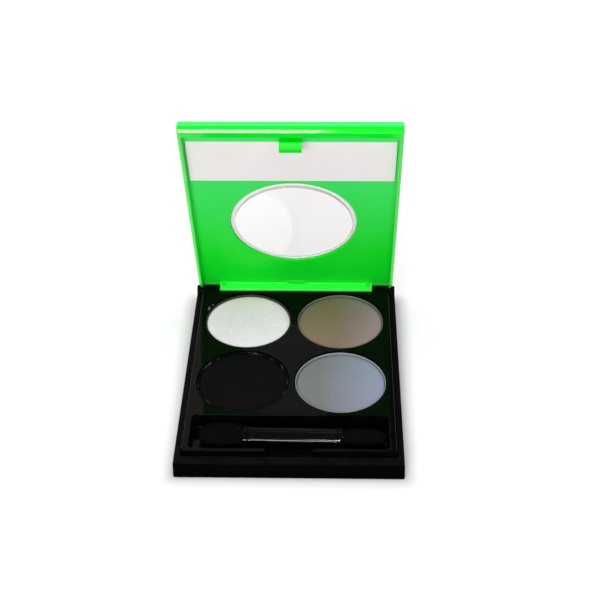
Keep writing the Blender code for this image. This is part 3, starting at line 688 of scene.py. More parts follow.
def mirror_film_painted_reflection(tone):
    """Mirror strip under a satin film: its pale colour is a painted reflection of bright surroundings, with
    the film's faint drawn lines.
    """
    finish, tree, shader = new_finish("mirror_silver", Specular_IOR_Level=0.4)
    lines = grain(tree, 90.0, 4.0, stretch=(0.2, 1.0, 1.0))
    wire(tree, shader, Base_Color=mottled(tree, tone, 0.975, 1.02, 60.0, 3.0),
         Roughness=spread(tree, lines, 0.3, 0.42))
    raised(tree, shader, grain(tree, 900.0, 2.0, stretch=(0.06, 1.0, 1.0)), 0.03)
    return finish


def clear_lens(tone, middle, axis, disc):
    """Clear moulded window with the faintest of wipe marks, frosted outside its disc."""
    finish, tree, shader = new_finish("clear_window", Base_Color=(*tone, 1.0), IOR=1.49)
    off = vector(tree, "SUBTRACT", own_place(tree), middle)
    reach = vector(tree, "LENGTH", vector(tree, "CROSS_PRODUCT", off, axis))
    frost = spread(tree, reach, 0.0, 1.0, disc - 0.06 * MM, disc)
    polish = spread(tree, grain(tree, 130.0, 4.0, stretch=(0.4, 1.0, 1.0)), 0.0, 0.035)
    wire(tree, shader, Transmission_Weight=spread(tree, frost, 1.0, 0.3, 0.0, 1.0),
         Roughness=figure(tree, "MULTIPLY_ADD", frost, 0.4, polish))
    raised(tree, shader, grain(tree, 160.0, 1.0), 0.01)
    return finish


def bare_metal(tree, tone):
    """The uneven colour of bare metal."""
    return mottled(tree, tone, 0.85, 1.1, 300.0, 4.0)


def drawn_lines(tree, shader, low, high, stretch):
    """Fine lines in a metal's polish."""
    wire(tree, shader, Roughness=spread(tree, grain(tree, 900.0, 3.0, stretch=stretch), low, high))
    raised(tree, shader, grain(tree, 1500.0, 2.0, stretch=stretch), 0.05)


def pin_steel(tone):
    """Turned steel."""
    finish, tree, shader = new_finish("steel", Metallic=1.0)
    wire(tree, shader, Base_Color=bare_metal(tree, tone))
    drawn_lines(tree, shader, 0.2, 0.36, (0.1, 1.0, 1.0))
    return finish


def dusted_tin(tones, middle):
    """Drawn tin, dusty or dulled in each pan's own way, told apart by the pan's quarter of the tray."""
    finish, tree, shader = new_finish("tin", Metallic=0.3)
    split = axes(tree)
    right = figure(tree, "GREATER_THAN", split["X"], middle[0])
    rear = figure(tree, "GREATER_THAN", split["Y"], middle[1])
    front_dust = blended(tree, right, toned(tones.coal, 1.5), toned(tones.silver, 2.0))
    rear_dust = blended(tree, right, toned(tones.tin, 0.1), toned(tones.tin, 0.5))
    worn = spread(tree, grain(tree, 500.0, 4.0), 0.0, 0.4, 0.58, 0.75)
    clear = figure(tree, "MAXIMUM", right, rear)
    dust = blended(tree, rear, front_dust, rear_dust)
    wire(tree, shader, Base_Color=blended(tree, worn, dust, bare_metal(tree, tones.tin)),
         Specular_IOR_Level=spread(tree, clear, 0.05, 0.5, 0.0, 1.0))
    drawn_lines(tree, shader, 0.3, 0.5, (1.0, 1.0, 0.15))
    return finish


def pressed_powder(name, tone, roughness, metallic=0.0, flake=0.0, sheen=0.0, gloss=0.25, light_drift=None):
    """Pressed powder: fine grain, soft clouds, painted light that shifts it to another tone across the pan
    and, in pearls, bright flakes.
    """
    finish, tree, shader = new_finish(name, Metallic=metallic, Sheen_Weight=sheen, Specular_IOR_Level=gloss)
    fine = grain(tree, 2400.0, 2.0, 0.7)
    mixed = figure(tree, "ADD", grain(tree, 95.0, 4.0), fine)
    base = shaded(tree, spread(tree, mixed, 0.0, 1.0, 0.7, 1.3), (0.0, toned(tone, 0.88)),
                  (1.0, toned(tone, 1.12)))
    # Painted light: across the pan the colour shifts to a second tone that stands in for how light falls
    # there.
    if light_drift:
        tail, axis, start = light_drift
        middle = pan_middle(name.split("_")[1])["XY".index(axis)]
        along = spread(tree, axes(tree)[axis], 0.0, 1.0, middle + start, middle + 12 * MM)
        base = blended(tree, along, base, tail)
    if flake:
        spots = spread(tree, cells(tree, 1700.0), 1.0, 0.0, 0.08, 0.2)
        picked = spread(tree, grain(tree, 1100.0, 1.0), 0.0, flake, 0.56, 0.66)
        base = blended(tree, figure(tree, "MULTIPLY", spots, picked), base, FLAKE)
    wire(tree, shader, Base_Color=base, Roughness=spread(tree, fine, roughness - 0.06, roughness + 0.08))
    raised(tree, shader, mixed, 0.25, 0.03 * MM)
    return finish


def foam(tone):
    """Black flocked sponge with open cells."""
    finish, tree, shader = new_finish("black_sponge", Specular_IOR_Level=0.03)
    pores = cells(tree, 4200.0)
    wire(tree, shader, Base_Color=shaded(tree, pores, (0.05, toned(tone, 0.4)), (0.5, toned(tone, 1.5))),
         Roughness=spread(tree, grain(tree, 900.0), 0.85, 1.0))
    raised(tree, shader, pores, 0.6, 0.08 * MM)
    return finish


def plain_layer(name, tone, roughness):
    """Glue or tape: slightly uneven in colour and gloss."""
    finish, tree, shader = new_finish(name)
    wire(tree, shader, Base_Color=mottled(tree, tone, 0.9, 1.06, 400.0, 4.0),
         Roughness=spread(tree, grain(tree, 800.0), roughness - 0.08, roughness + 0.08))
    raised(tree, shader, grain(tree, 1200.0), 0.1, 0.03 * MM)
    return finish


# Node trees for what repeats or follows a rule


def new_tree(name, **sizes):
    """An empty geometry tree with a geometry input, number inputs and a material input."""
    tree = bpy.data.node_groups.new(name, "GeometryNodeTree")
    face = tree.interface
    face.new_socket("Geometry", in_out="INPUT", socket_type="NodeSocketGeometry")
    for key, value in sizes.items():
        kind = "NodeSocketInt" if isinstance(value, int) else "NodeSocketFloat"
        face.new_socket(key, in_out="INPUT", socket_type=kind)
    face.new_socket("Finish", in_out="INPUT", socket_type="NodeSocketMaterial")
    face.new_socket("Geometry", in_out="OUTPUT", socket_type="NodeSocketGeometry")
    return tree, tree.nodes.new("NodeGroupInput").outputs


def close_tree(tree, geometry, finish):
    """End a tree: realise its copies, set the finish and hand the mesh out."""
    real = add(tree, "GeometryNodeRealizeInstances", {"Geometry": geometry})
    dressed = add(tree, "GeometryNodeSetMaterial", {"Geometry": real.outputs[0], "Material": finish})
    add(tree, "NodeGroupOutput", {0: dressed.outputs[0]})


def grown(thing, tree, finish, **sizes):
    """Run a tree on an object with its sizes and finish, and keep the result as a plain mesh."""
    change = thing.modifiers.new(tree.name, "NODES")
    change.node_group = tree
    for item in tree.interface.items_tree:
        if item.in_out == "INPUT" and item.name in sizes:
            change[item.identifier] = sizes[item.name]
        if item.in_out == "INPUT" and item.name == "Finish":
            change[item.identifier] = finish
    return settle(thing)


def pan_set_tree():
    """Four copies of a pan on the corners of a square."""
    tree, given = new_tree("pan set", Pitch_x=0.0, Pitch_y=0.0)
    grid = add(tree, "GeometryNodeMeshGrid", {"Size X": given["Pitch_x"], "Size Y": given["Pitch_y"],
                                              "Vertices X": 2, "Vertices Y": 2})
    copies = add(tree, "GeometryNodeInstanceOnPoints", {"Points": grid.outputs["Mesh"],
                                                        "Instance": given["Geometry"]})
    close_tree(tree, copies.outputs["Instances"], given["Finish"])
    return tree


def cake_tree():
    """A pressed cake: a disc with a crown, a rounded edge and a fine grain."""
    tree, given = new_tree("pressed cake", Radius=0.0, Depth=0.0, Crown=0.0, Edge=0.0, Grain=0.0, Shift=0.0)
    do = partial(figure, tree)
    disc = add(tree, "GeometryNodeMeshCylinder",
               {"Vertices": CAKE_STEPS, "Side Segments": 3, "Fill Segments": CAKE_RINGS,
                "Radius": given["Radius"], "Depth": given["Depth"]}, fill_type="TRIANGLE_FAN")
    place = add(tree, "GeometryNodeInputPosition").outputs["Position"]
    x, y, z = add(tree, "ShaderNodeSeparateXYZ", {"Vector": place}).outputs
    reach = do("SQRT", do("ADD", do("MULTIPLY", x, x), do("MULTIPLY", y, y)))
    along = do("MINIMUM", do("DIVIDE", reach, given["Radius"]), 1.0)
    left = do("MAXIMUM", do("SUBTRACT", 1.0, along), 0.0)
    close = do("SUBTRACT", 1.0, do("POWER", left, CAKE_SPACING))
    stretch = do("DIVIDE", close, do("MAXIMUM", along, 0.0001))
    spaced = add(tree, "ShaderNodeCombineXYZ", {"X": do("MULTIPLY", x, stretch),
                                                "Y": do("MULTIPLY", y, stretch), "Z": z})
    evened = add(tree, "GeometryNodeSetPosition", {"Geometry": disc.outputs["Mesh"],
                                                   "Position": spaced.outputs["Vector"]})
    radius = do("MULTIPLY", close, given["Radius"])
    flat = do("SUBTRACT", given["Radius"], given["Edge"])
    into = do("DIVIDE", do("SUBTRACT", radius, flat), given["Edge"])
    edge = do("MINIMUM", do("MAXIMUM", into, 0.0), 1.0)
    level = do("MAXIMUM", do("SUBTRACT", 1.0, do("MULTIPLY", edge, edge)), 0.0)
    drop = do("MULTIPLY", do("SUBTRACT", 1.0, do("SQRT", level)), given["Edge"])
    swell = do("MULTIPLY", given["Crown"], do("SUBTRACT", 1.0, do("MULTIPLY", close, close)))
    sample = add(tree, "ShaderNodeCombineXYZ", {"X": do("ADD", x, given["Shift"]), "Y": y, "Z": 0.0})
    noise = add(tree, "ShaderNodeTexNoise", {"Vector": sample.outputs["Vector"], "Scale": 420.0,
                                             "Detail": 4.0, "Roughness": 0.62}).outputs["Fac"]
    rough = do("MULTIPLY", do("SUBTRACT", noise, 0.5), given["Grain"])
    lift = do("ADD", do("SUBTRACT", swell, drop), do("MULTIPLY", rough, do("SUBTRACT", 1.0, edge)))
    on_top = add(tree, "FunctionNodeCompare", {"A": z, "B": do("MULTIPLY", given["Depth"], CAKE_TOP)},
                 operation="GREATER_THAN").outputs["Result"]
    offset = add(tree, "ShaderNodeCombineXYZ", {"Z": lift}).outputs["Vector"]
    formed = add(tree, "GeometryNodeSetPosition", {"Geometry": evened.outputs["Geometry"],
                                                   "Selection": on_top, "Offset": offset})
    close_tree(tree, formed.outputs["Geometry"], given["Finish"])
    return tree


def crumb_tree():
    """Loose powder crumbs strewn over a patch."""
    tree, given = new_tree("powder crumbs", Density=0.0, Size=0.0, Seed=0)
    points = add(tree, "GeometryNodeDistributePointsOnFaces",
                 {"Mesh": given["Geometry"], "Density": given["Density"],
                  "Seed": given["Seed"]}).outputs["Points"]
    crumb = add(tree, "GeometryNodeMeshIcoSphere", {"Radius": given["Size"], "Subdivisions": 1})
    size, turn = (add(tree, "FunctionNodeRandomValue", {"Min": least, "Max": most, "Seed": given["Seed"]},
                      data_type="FLOAT_VECTOR")
                  for least, most in (((0.25, 0.25, 0.15), (1.0, 0.8, 0.4)),
                                      ((0.0, 0.0, 0.0), (0.0, 0.0, 2 * pi))))
    copies = add(tree, "GeometryNodeInstanceOnPoints", {"Points": points, "Instance": crumb.outputs["Mesh"],
                                                        "Rotation": turn.outputs["Value"],
                                                        "Scale": size.outputs["Value"]})
    close_tree(tree, copies.outputs["Instances"], given["Finish"])
    return tree


def foam_tree():
    """Foam skin: the surface moved in and out by fine noise."""
    tree, given = new_tree("foam skin", Height=0.0)
    place = add(tree, "GeometryNodeInputPosition").outputs["Position"]
    noise = add(tree, "ShaderNodeTexNoise", {"Vector": place, "Scale": 900.0, "Detail": 3.0,
                                             "Roughness": 0.6}).outputs["Fac"]
    height = figure(tree, "MULTIPLY", figure(tree, "SUBTRACT", noise, 0.6), given["Height"])
    normal = add(tree, "GeometryNodeInputNormal").outputs["Normal"]
    offset = add(tree, "ShaderNodeVectorMath", {0: normal, "Scale": height}, operation="SCALE")
    moved = add(tree, "GeometryNodeSetPosition", {"Geometry": given["Geometry"],
                                                  "Offset": offset.outputs["Vector"]})
    close_tree(tree, moved.outputs["Geometry"], given["Finish"])
    return tree


# Pieces


def pan_middle(shade):
    """The middle of a shade's pan, from the frame."""
    low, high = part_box("pan_" + shade)
    return (low[0] + high[0]) / 2, (low[1] + high[1]) / 2


def swung_open(sizes):
    """The turn that opens the shut lid about its hinge line."""
    turn = Matrix.Rotation(-sizes.open_angle, 4, "X")
    return Matrix.Translation(HINGE) @ turn @ Matrix.Translation(-HINGE)


def dress(node, finish):
    """Give a carried-over node its finish."""
    slots = frame["nodes"][node].data.materials
    slots.clear()
    slots.append(finish)


class PALETTE_OT_base_shell(bpy.types.Operator):
    """Build the gloss black base shell with its hinge ears"""

    bl_idname = "palette.base_shell"
    bl_label = "Base shell"

    def ear(self, sizes, side):
        """One hinge ear with a round top and softened ends."""
        inner = BASE_HIGH[0] - sizes.ear_width
        outer = BASE_HIGH[0] - sizes.ear_inset
        root = sizes.ledge_height - sizes.shoulder
        edge = sizes.ear_edge
        stations = sorted((inner + across, edge - along) for along, across in quarter(edge))
        stations += sorted((outer - across, edge - along) for along, across in quarter(edge))
        rings = []
        for x, inset in stations:
            radius = sizes.ear_radius - inset
            points = [(side * x, HINGE.y + radius, root)]
            for step in range(SMALL_STEPS // 2 + 1):
                turn = pi * step / (SMALL_STEPS // 2)
                points.append((side * x, HINGE.y + radius * cos(turn), HINGE.z + radius * sin(turn)))
            points.append((side * x, HINGE.y - radius, root))
            rings.append(points)
        return loft(rings)

    def execute(self, context):
        sizes = context.scene.palette_base
        half, front, rear = BASE_HIGH[0], BASE_LOW[1], BASE_HIGH[1]
        shell = slab(half, front, rear, sizes.corner, BASE_LOW[2], sizes.ledge_height,
                     sizes.foot_edge, sizes.shoulder, sizes.taper)
        wall = front + sizes.front_wall
        cavity = opening(half - sizes.side_wall, wall, rear - sizes.rear_wall, sizes.tray_corner,
                         sizes.floor, sizes.ledge_height, sizes.mouth_edge)
        notch_half = half - sizes.ear_width
        notch = block((-notch_half, notch_half), (rear - sizes.rear_wall - CLEAR, rear + CLEAR),
                      (sizes.notch_floor, HINGE.z + CLEAR))
        bores = [hinge_rod(sizes.bore, side * (notch_half - CLEAR), side * (half + CLEAR)) for side in SIDES]
        keeper = block((-sizes.keeper_half, sizes.keeper_half), (wall - sizes.keeper_depth, wall + CLEAR),
                       (sizes.keeper_low, sizes.keeper_high))
        steps = [("DIFFERENCE", cavity), ("DIFFERENCE", notch)]
        steps += [("UNION", self.ear(sizes, side)) for side in SIDES]
        steps += [("DIFFERENCE", bore) for bore in bores]
        steps.append(("DIFFERENCE", keeper))
        base = worked("base_shell_moulding", shell, *steps)
        # The shell is darkened below the ledge height: painted shade on its walls.
        finish = gloss_black("gloss_black", context.scene.palette_colours.shell, 0.008, (0.3, 1.0, 1.0),
                             sizes.ledge_height)
        finished(base, finish, "base", ["base_shell"], SOFT_EDGE)
        return {"FINISHED"}


class PALETTE_OT_tray(bpy.types.Operator):
    """Build the pan tray: a deck with four cups, the applicator trough and the catch recess"""

    bl_idname = "palette.tray"
    bl_label = "Pan tray"

    def well(self, sizes, shade):
        """The bore of one cup, with a rounded mouth at the deck."""
        top = TRAY_HIGH[2]
        radius = PAN_RADIUS + sizes.cup_gap
        edge = sizes.cup_edge
        profile = [(0.0, sizes.cup_bottom), (radius, sizes.cup_bottom)]
        profile += [(radius + across, top - edge + along) for along, across in quarter(edge)]
        profile += [(radius + edge, top + CLEAR), (0.0, top + CLEAR)]
        return turned(profile, pan_middle(shade))

    def execute(self, context):
        sizes = context.scene.palette_base
        half, front, rear = TRAY_HIGH[0], TRAY_LOW[1], TRAY_HIGH[1]
        low, top = TRAY_LOW[2], TRAY_HIGH[2]
        trough_front = front + sizes.trough_front
        trough_rear = trough_front + sizes.trough_width
        body = slab(half, front, rear, sizes.tray_corner, low, top, high_edge=sizes.deck_edge)
        hollow = slab(half - sizes.skirt, trough_rear + sizes.skirt, rear - sizes.skirt, sizes.tray_corner,
                      low - CLEAR, top - sizes.deck)
        cup = PAN_RADIUS + sizes.cup_gap + sizes.cup_wall
        cup_low, cup_top = sizes.cup_bottom - sizes.cup_wall, top - sizes.deck / 2
        profile = [(0.0, cup_low), (cup, cup_low), (cup, cup_top), (0.0, cup_top)]
        cups = [("UNION", turned(profile, pan_middle(shade))) for shade in SHADES]
        wells = [("DIFFERENCE", self.well(sizes, shade)) for shade in SHADES]
        trough = opening(half - sizes.trough_end, trough_front, trough_rear, sizes.trough_corner,
                         sizes.trough_bed, top, sizes.deck_edge, sizes.trough_fillet)
        recess = block((-sizes.recess_half, sizes.recess_half),
                       (front - CLEAR, trough_front + sizes.trough_corner), (sizes.recess_sill, top + CLEAR))
        tray = worked("pan_tray_moulding", body, ("DIFFERENCE", hollow), *cups, *wells,
                      ("DIFFERENCE", trough), ("DIFFERENCE", recess))
        finish = gloss_black("gloss_black_tray", context.scene.palette_colours.black, 0.055, (1.0, 0.35, 1.0))
        finished(tray, finish, "base", ["pan_tray"], SOFT_EDGE)
        return {"FINISHED"}


class PALETTE_OT_pans(bpy.types.Operator):
    """Build the four drawn metal pans"""

    bl_idname = "palette.pans"
    bl_label = "Pans"

    def execute(self, context):
        sizes = context.scene.palette_base
        low, rim = WHITE_LOW[2], WHITE_HIGH[2]
        foot, wall, lip = sizes.pan_foot, sizes.pan_wall, sizes.pan_wall / 2
        profile = [(0.0, low)]
        profile += [(PAN_RADIUS - foot + along, low + across) for along, across in quarter(foot)]
        for step in range(ARC_STEPS + 1):
            turn = step * pi / ARC_STEPS
            profile.append((PAN_RADIUS - lip + lip * cos(turn), rim - lip + lip * sin(turn)))
        inside, bed = PAN_RADIUS - wall, low + wall
        profile += [(inside - across, bed + wall - along) for along, across in quarter(wall)]
        profile.append((0.0, bed))
        (left, rear), (right, front) = pan_middle("white"), pan_middle("silver")
        x, y = (left + right) / 2, (rear + front) / 2
        pans = as_object("drawn_pans", turned(profile))
        finish = dusted_tin(context.scene.palette_colours, (x, y))
        grown(pans, pan_set_tree(), finish, Pitch_x=right - left, Pitch_y=rear - front)
        middle = Matrix.Translation((x, y, 0.0))
        finished(pans, finish, "base", ["pan_" + shade for shade in SHADES], move=middle)
        return {"FINISHED"}


class PALETTE_OT_powders(bpy.types.Operator):
    """Press the four powder cakes and strew a few crumbs beside the white one"""

    bl_idname = "palette.powders"
    bl_label = "Powders"

    def execute(self, context):
        sizes = context.scene.palette_base
        tones = context.scene.palette_colours
        # The white, taupe and silver shades carry painted light that shifts their tone across the pan.
        finishes = {
            "white": pressed_powder("powder_white", tones.white, 0.8, sheen=0.05,
                                    light_drift=(tones.white_rear_painted_light, "Y", 3 * MM)),
            "taupe": pressed_powder("powder_taupe", tones.taupe, 0.52, 0.25, 0.25,
                                    light_drift=(tones.taupe_right_painted_light, "X", -2 * MM)),
            "black": pressed_powder("powder_black", tones.coal, 0.85, gloss=0.05),
            "silver": pressed_powder("powder_silver", tones.silver, 0.48, 0.35, 0.5,
                                     light_drift=(tones.silver_right_painted_light, "X", -6 * MM)),
        }
        tree = cake_tree()
        for index, shade in enumerate(SHADES):
            low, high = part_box("powder_" + shade)
            top = high[2] - sizes.powder_crown + sizes.powder_fill
            cake = as_object("pressed_powder_" + shade, block((0, MM), (0, MM), (0, MM)))
            grown(cake, tree, finishes[shade], Radius=(high[0] - low[0]) / 2, Depth=top - low[2],
                  Crown=sizes.powder_crown, Edge=sizes.powder_edge, Grain=sizes.powder_grain,
                  Shift=index * GRAIN_SHIFT)
            place = Matrix.Translation((*pan_middle(shade), (low[2] + top) / 2))
            finished(cake, finishes[shade], "base", ["powder_" + shade], move=place)
        self.strew(context, sizes, finishes["white"])
        return {"FINISHED"}

    def strew(self, context, sizes, finish):
        """Crumbs of white powder on the rim of the white pan."""
        x, y = pan_middle("white")
        deck = max(TRAY_HIGH[2], WHITE_HIGH[2])
        height = deck + CRUMB_LIFT
        patch = bmesh.new()
        patch.faces.new([patch.verts.new((x + a * MM, y + b * MM, height)) for a, b in CRUMB_PATCH])
        crumbs = as_object("powder_crumbs", patch)
        grown(crumbs, crumb_tree(), finish, Density=CRUMBS_PER_AREA, Size=sizes.crumb,
              Seed=context.scene.palette_stage.seed)
        crumbs.data.shade_smooth()
        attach(crumbs, "base")


class PALETTE_OT_lid_shell(bpy.types.Operator):
    """Build the fluorescent green lid with its tongue, gussets, catch, mirror pocket and window hole"""

    bl_idname = "palette.lid_shell"
    bl_label = "Lid shell"

    def ear_room(self, sizes, side):
        """What the lid leaves free beside its tongue: the ear's swing and the panel's tail."""
        front = HINGE.y - sizes.ear_room
        tail = HINGE.y + sizes.tail
        outline = [(front, sizes.rim - CLEAR), (front, sizes.inside), (tail, sizes.inside),
                   (tail, sizes.top + CLEAR), (sizes.rear + CLEAR, sizes.top + CLEAR),
                   (sizes.rear + CLEAR, sizes.rim - CLEAR)]
        return prism(outline, side * sizes.tongue_half, side * (sizes.half + CLEAR))

    def gusset(self, sizes, side):
        """A small web between the panel and the tongue."""
        outer = sizes.tongue_half - sizes.gusset_inset
        wall = HINGE.y - sizes.knuckle
        root = (sizes.top - sizes.inside) / 2
        outline = [(wall - sizes.gusset_reach, sizes.inside), (wall, HINGE.z), (wall + root, HINGE.z),
                   (wall + root, sizes.inside + root), (wall - sizes.gusset_reach, sizes.inside + root)]
        return prism(outline, side * outer, side * (outer - sizes.gusset))

    def catch(self, sizes):
        """The catch: a tab with a nose and a lead-in at its tip."""
        front = sizes.catch_setback - sizes.front
        rear = front + sizes.catch_depth
        nose = front - sizes.catch_nose
        nose_top = sizes.catch_tip + sizes.catch_nose_height
        lead = sizes.catch_nose_height / 2
        root = (sizes.top + sizes.inside) / 2
        outline = [(front, root), (front, nose_top + lead), (nose, nose_top), (nose, sizes.catch_tip + lead),
                   (front, sizes.catch_tip), (rear - lead, sizes.catch_tip), (rear, sizes.catch_tip + lead),
                   (rear, root)]
        return prism(outline, -sizes.catch_half, sizes.catch_half)

    def window_hole(self, sizes):
        """The window's hole with its rebate outside and a softened edge inside."""
        edge = sizes.window_edge
        profile = [(0.0, sizes.rim), (sizes.window + edge, sizes.rim)]
        profile += [(sizes.window + edge - along, sizes.inside + across) for along, across in quarter(edge)]
        wide = sizes.window + sizes.rebate
        profile += [(sizes.window, sizes.top - sizes.rebate_depth), (wide, sizes.top - sizes.rebate_depth),
                    (wide, sizes.top + CLEAR), (0.0, sizes.top + CLEAR)]
        return turned(profile, (0.0, sizes.window_y))

    def execute(self, context):
        sizes = context.scene.palette_lid
        outside = slab(sizes.half, -sizes.front, sizes.rear, sizes.corner, sizes.rim, sizes.top,
                       sizes.rim_edge, sizes.top_edge, bluntness=sizes.rim_blunt)
        wall = HINGE.y - sizes.knuckle
        inside = slab(sizes.half - sizes.side_wall, sizes.front_wall - sizes.front, wall, sizes.corner,
                      HINGE.z - sizes.knuckle - CLEAR, sizes.inside, high_edge=sizes.inner_edge)
        pad = block((-sizes.pad_half, sizes.pad_half), (wall - sizes.pad_reach, wall + sizes.knuckle),
                    (sizes.inside - sizes.pad_height, (sizes.inside + sizes.top) / 2))
        gap = sizes.mirror_gap
        pocket = slab(sizes.mirror_half + gap, -sizes.mirror_front - gap, gap - sizes.mirror_rear, gap,
                      sizes.inside - CLEAR / 4, sizes.pocket)
        deep = sizes.tongue_half - sizes.pin_reach
        steps = [("UNION", hinge_rod(sizes.knuckle, -sizes.tongue_half, sizes.tongue_half)),
                 ("DIFFERENCE", inside)]
        steps += [("DIFFERENCE", self.ear_room(sizes, side)) for side in SIDES]
        steps += [("UNION", self.gusset(sizes, side)) for side in SIDES]
        steps += [("UNION", pad), ("UNION", self.catch(sizes)), ("DIFFERENCE", pocket),
                  ("DIFFERENCE", self.window_hole(sizes))]
        for side in SIDES:
            bore = hinge_rod(sizes.bore, side * deep, side * (sizes.tongue_half + CLEAR))
            steps.append(("DIFFERENCE", bore))
        lid = worked("lid_moulding", outside, *steps)
        finish = lid_green(context.scene.palette_colours, sizes)
        finished(lid, finish, "lid", ["lid_shell"], LID_EDGE, swung_open(sizes))
        return {"FINISHED"}


class PALETTE_OT_window(bpy.types.Operator):
    """Build the clear window lens with its flange and bevelled plug"""

    bl_idname = "palette.window"
    bl_label = "Window lens"

    def execute(self, context):
        sizes = context.scene.palette_lid
        flange = sizes.window + sizes.rebate - sizes.lens_gap
        plug = sizes.window - sizes.lens_gap
        seat = sizes.top - sizes.rebate_depth + sizes.lens_seat
        face = sizes.inside - sizes.lens_proud
        top, soft = sizes.top, FINE_EDGE
        disc, sunk = plug - sizes.lens_ring, face + sizes.lens_step
        profile = [(0.0, face), (disc - soft, face), (disc, face + soft), (disc, sunk), (plug - soft, sunk),
                   (plug, sunk + soft), (plug, seat), (flange - soft, seat), (flange, seat + soft),
                   (flange, top - soft), (flange - soft, top), (0.0, top)]
        lens = as_object("window_lens_moulding", turned(profile, (0.0, sizes.window_y)))
        swing = swung_open(sizes)
        finish = clear_lens(context.scene.palette_colours.lens, swing @ Vector((0.0, sizes.window_y, face)),
                            inwards(sizes), disc)
        finished(lens, finish, "lid", ["window_lens"], move=swing)
        return {"FINISHED"}


class PALETTE_OT_mirror(bpy.types.Operator):
    """Build the mirror strip with its film, and dress the tape behind it"""

    bl_idname = "palette.mirror"
    bl_label = "Mirror strip"

    def execute(self, context):
        sizes = context.scene.palette_lid
        strip = slab(sizes.mirror_half, -sizes.mirror_front, -sizes.mirror_rear, sizes.mirror_corner,
                     sizes.mirror_low, sizes.mirror_top, FINE_EDGE, FINE_EDGE)
        mirror = as_object("mirror_strip_filmed", strip)
        finish = mirror_film_painted_reflection(context.scene.palette_colours.film)
        finished(mirror, finish, "lid", ["mirror_strip"], move=swung_open(sizes))
        dress("mirror_tape", plain_layer("white_tape", context.scene.palette_colours.tape, 0.6))
        return {"FINISHED"}


class PALETTE_OT_hidden(bpy.types.Operator):
    """Dress the hinge pins and the glue under the pans"""

    bl_idname = "palette.hidden"
    bl_label = "Pins and glue"

    def execute(self, context):
        tones = context.scene.palette_colours
        steel = pin_steel(tones.steel)
        glue = plain_layer("glue", tones.glue, 0.4)
        for node in ("hinge_pin_left", "hinge_pin_right"):
            dress(node, steel)
        for shade in SHADES:
            dress("glue_" + shade, glue)
        return {"FINISHED"}


class PALETTE_OT_applicator(bpy.types.Operator):
    """Build the applicator: its handle and the two sponge tips"""

    bl_idname = "palette.applicator"
    bl_label = "Applicator"

    def laid(self, sizes, side):
        """The turn and place that lay the applicator's line in the trough."""
        seat = Vector(sizes.seat)
        lie = Matrix.Rotation(side * pi / 2, 4, "Y")
        return Matrix.Translation(seat) @ Matrix.Rotation(sizes.skew, 4, "Z") @ lie

    def section(self, shape, width, thickness, core, core_end):
        """Spread a turned shape to an oval section, all but a round core up to its end."""
        for vert in shape.verts:
            if vert.co.xy.length >= core or abs(vert.co.z) >= core_end:
                vert.co.y *= width / thickness
        return shape

    def handle(self, sizes):
        """Handle: an oval rod with a grooved collar and a neck at each end."""
        body, collar = sizes.thickness / 2, sizes.collar_thickness / 2
        start, soft = sizes.half - sizes.collar, sizes.groove / 2
        middle = sizes.half - sizes.collar / 2
        half = [(start * part, body) for part in HANDLE_STATIONS]
        half += [(start, body), (start + soft / 3, collar - soft), (start + soft, collar)]
        for step in range(ARC_STEPS + 1):
            turn = pi * step / ARC_STEPS
            half.append((middle - sizes.groove * cos(turn), collar - sizes.groove * sin(turn)))
        half += [(sizes.half - 2 * soft + along, collar - across) for along, across in quarter(2 * soft)]
        end = sizes.half + sizes.neck_length
        half += [(sizes.half, sizes.neck + soft), (sizes.half + soft, sizes.neck), (end - soft, sizes.neck),
                 (end, sizes.neck - soft), (end, 0.0)]
        profile = [(radius, -along) for along, radius in reversed(half[1:])]
        profile += [(radius, along) for along, radius in half]
        shape = turned(profile, steps=HANDLE_STEPS)
        return self.section(shape, sizes.width, sizes.thickness, sizes.neck * NECK_MARGIN, 2 * end)

    def sponge(self, sizes, width, thickness, peak, roundness):
        """A sponge tip: a crowned form that swells, rounds off and has a blind bore for the neck."""
        start = sizes.half + sizes.tip_gap
        bore = sizes.neck + sizes.tip_gap
        bore_end = sizes.half + sizes.neck_length + sizes.tip_gap
        profile = [(0.0, bore_end), (bore, bore_end), (bore, start + sizes.tip_lead)]
        mouth, edge = thickness / 2 * sizes.tip_mouth, sizes.tip_lip
        for step in range(LIP_STEPS + 1):
            turn = pi * step / LIP_STEPS
            reach = (bore + mouth) / 2 - (mouth - bore) / 2 * cos(turn)
            profile.append((reach, start + edge * (1 - sin(turn))))
        for index in range(1, TIP_RINGS):
            along = sin(pi / 2 * index / TIP_RINGS)
            if along < peak:
                full = sizes.tip_mouth + (1.0 - sizes.tip_mouth) * sin(pi / 2 * along / peak)
            else:
                full = (1.0 - ((along - peak) / (1.0 - peak)) ** roundness) ** (1.0 / roundness)
            profile.append((thickness / 2 * full, start + edge + (sizes.tip_length - edge) * along))
        profile.append((0.0, start + sizes.tip_length))
        shape = turned(profile, steps=TIP_STEPS)
        return self.section(shape, width, thickness, bore * BORE_MARGIN, bore_end * BORE_MARGIN)

    def execute(self, context):
        sizes = context.scene.palette_applicator
        tones = context.scene.palette_colours
        handle = as_object(HANDLE, self.handle(sizes))
        lie = self.laid(sizes, 1)
        finish = gloss_black("satin_black", tones.black, 0.3, (0.2, 1.0, 1.0), clean=lie.translation.y)
        finished(handle, finish, "applicator", ["applicator_handle"], move=lie)
        skin, tree = foam(tones.sponge), foam_tree()
        tips = (("sponge_tip_left", -1, sizes.paddle_width, sizes.paddle_thickness, sizes.paddle_peak,
                 sizes.paddle_round),
                ("sponge_tip_right", 1, sizes.point_width, sizes.point_thickness, sizes.point_peak,
                 sizes.point_round))
        for node, side, width, thickness, peak, roundness in tips:
            tip = as_object(node + "_foam", self.sponge(sizes, width, thickness, peak, roundness))
            grown(tip, tree, skin, Height=sizes.foam)
            finished(tip, skin, "applicator", [node], move=self.laid(sizes, side))
        return {"FINISHED"}


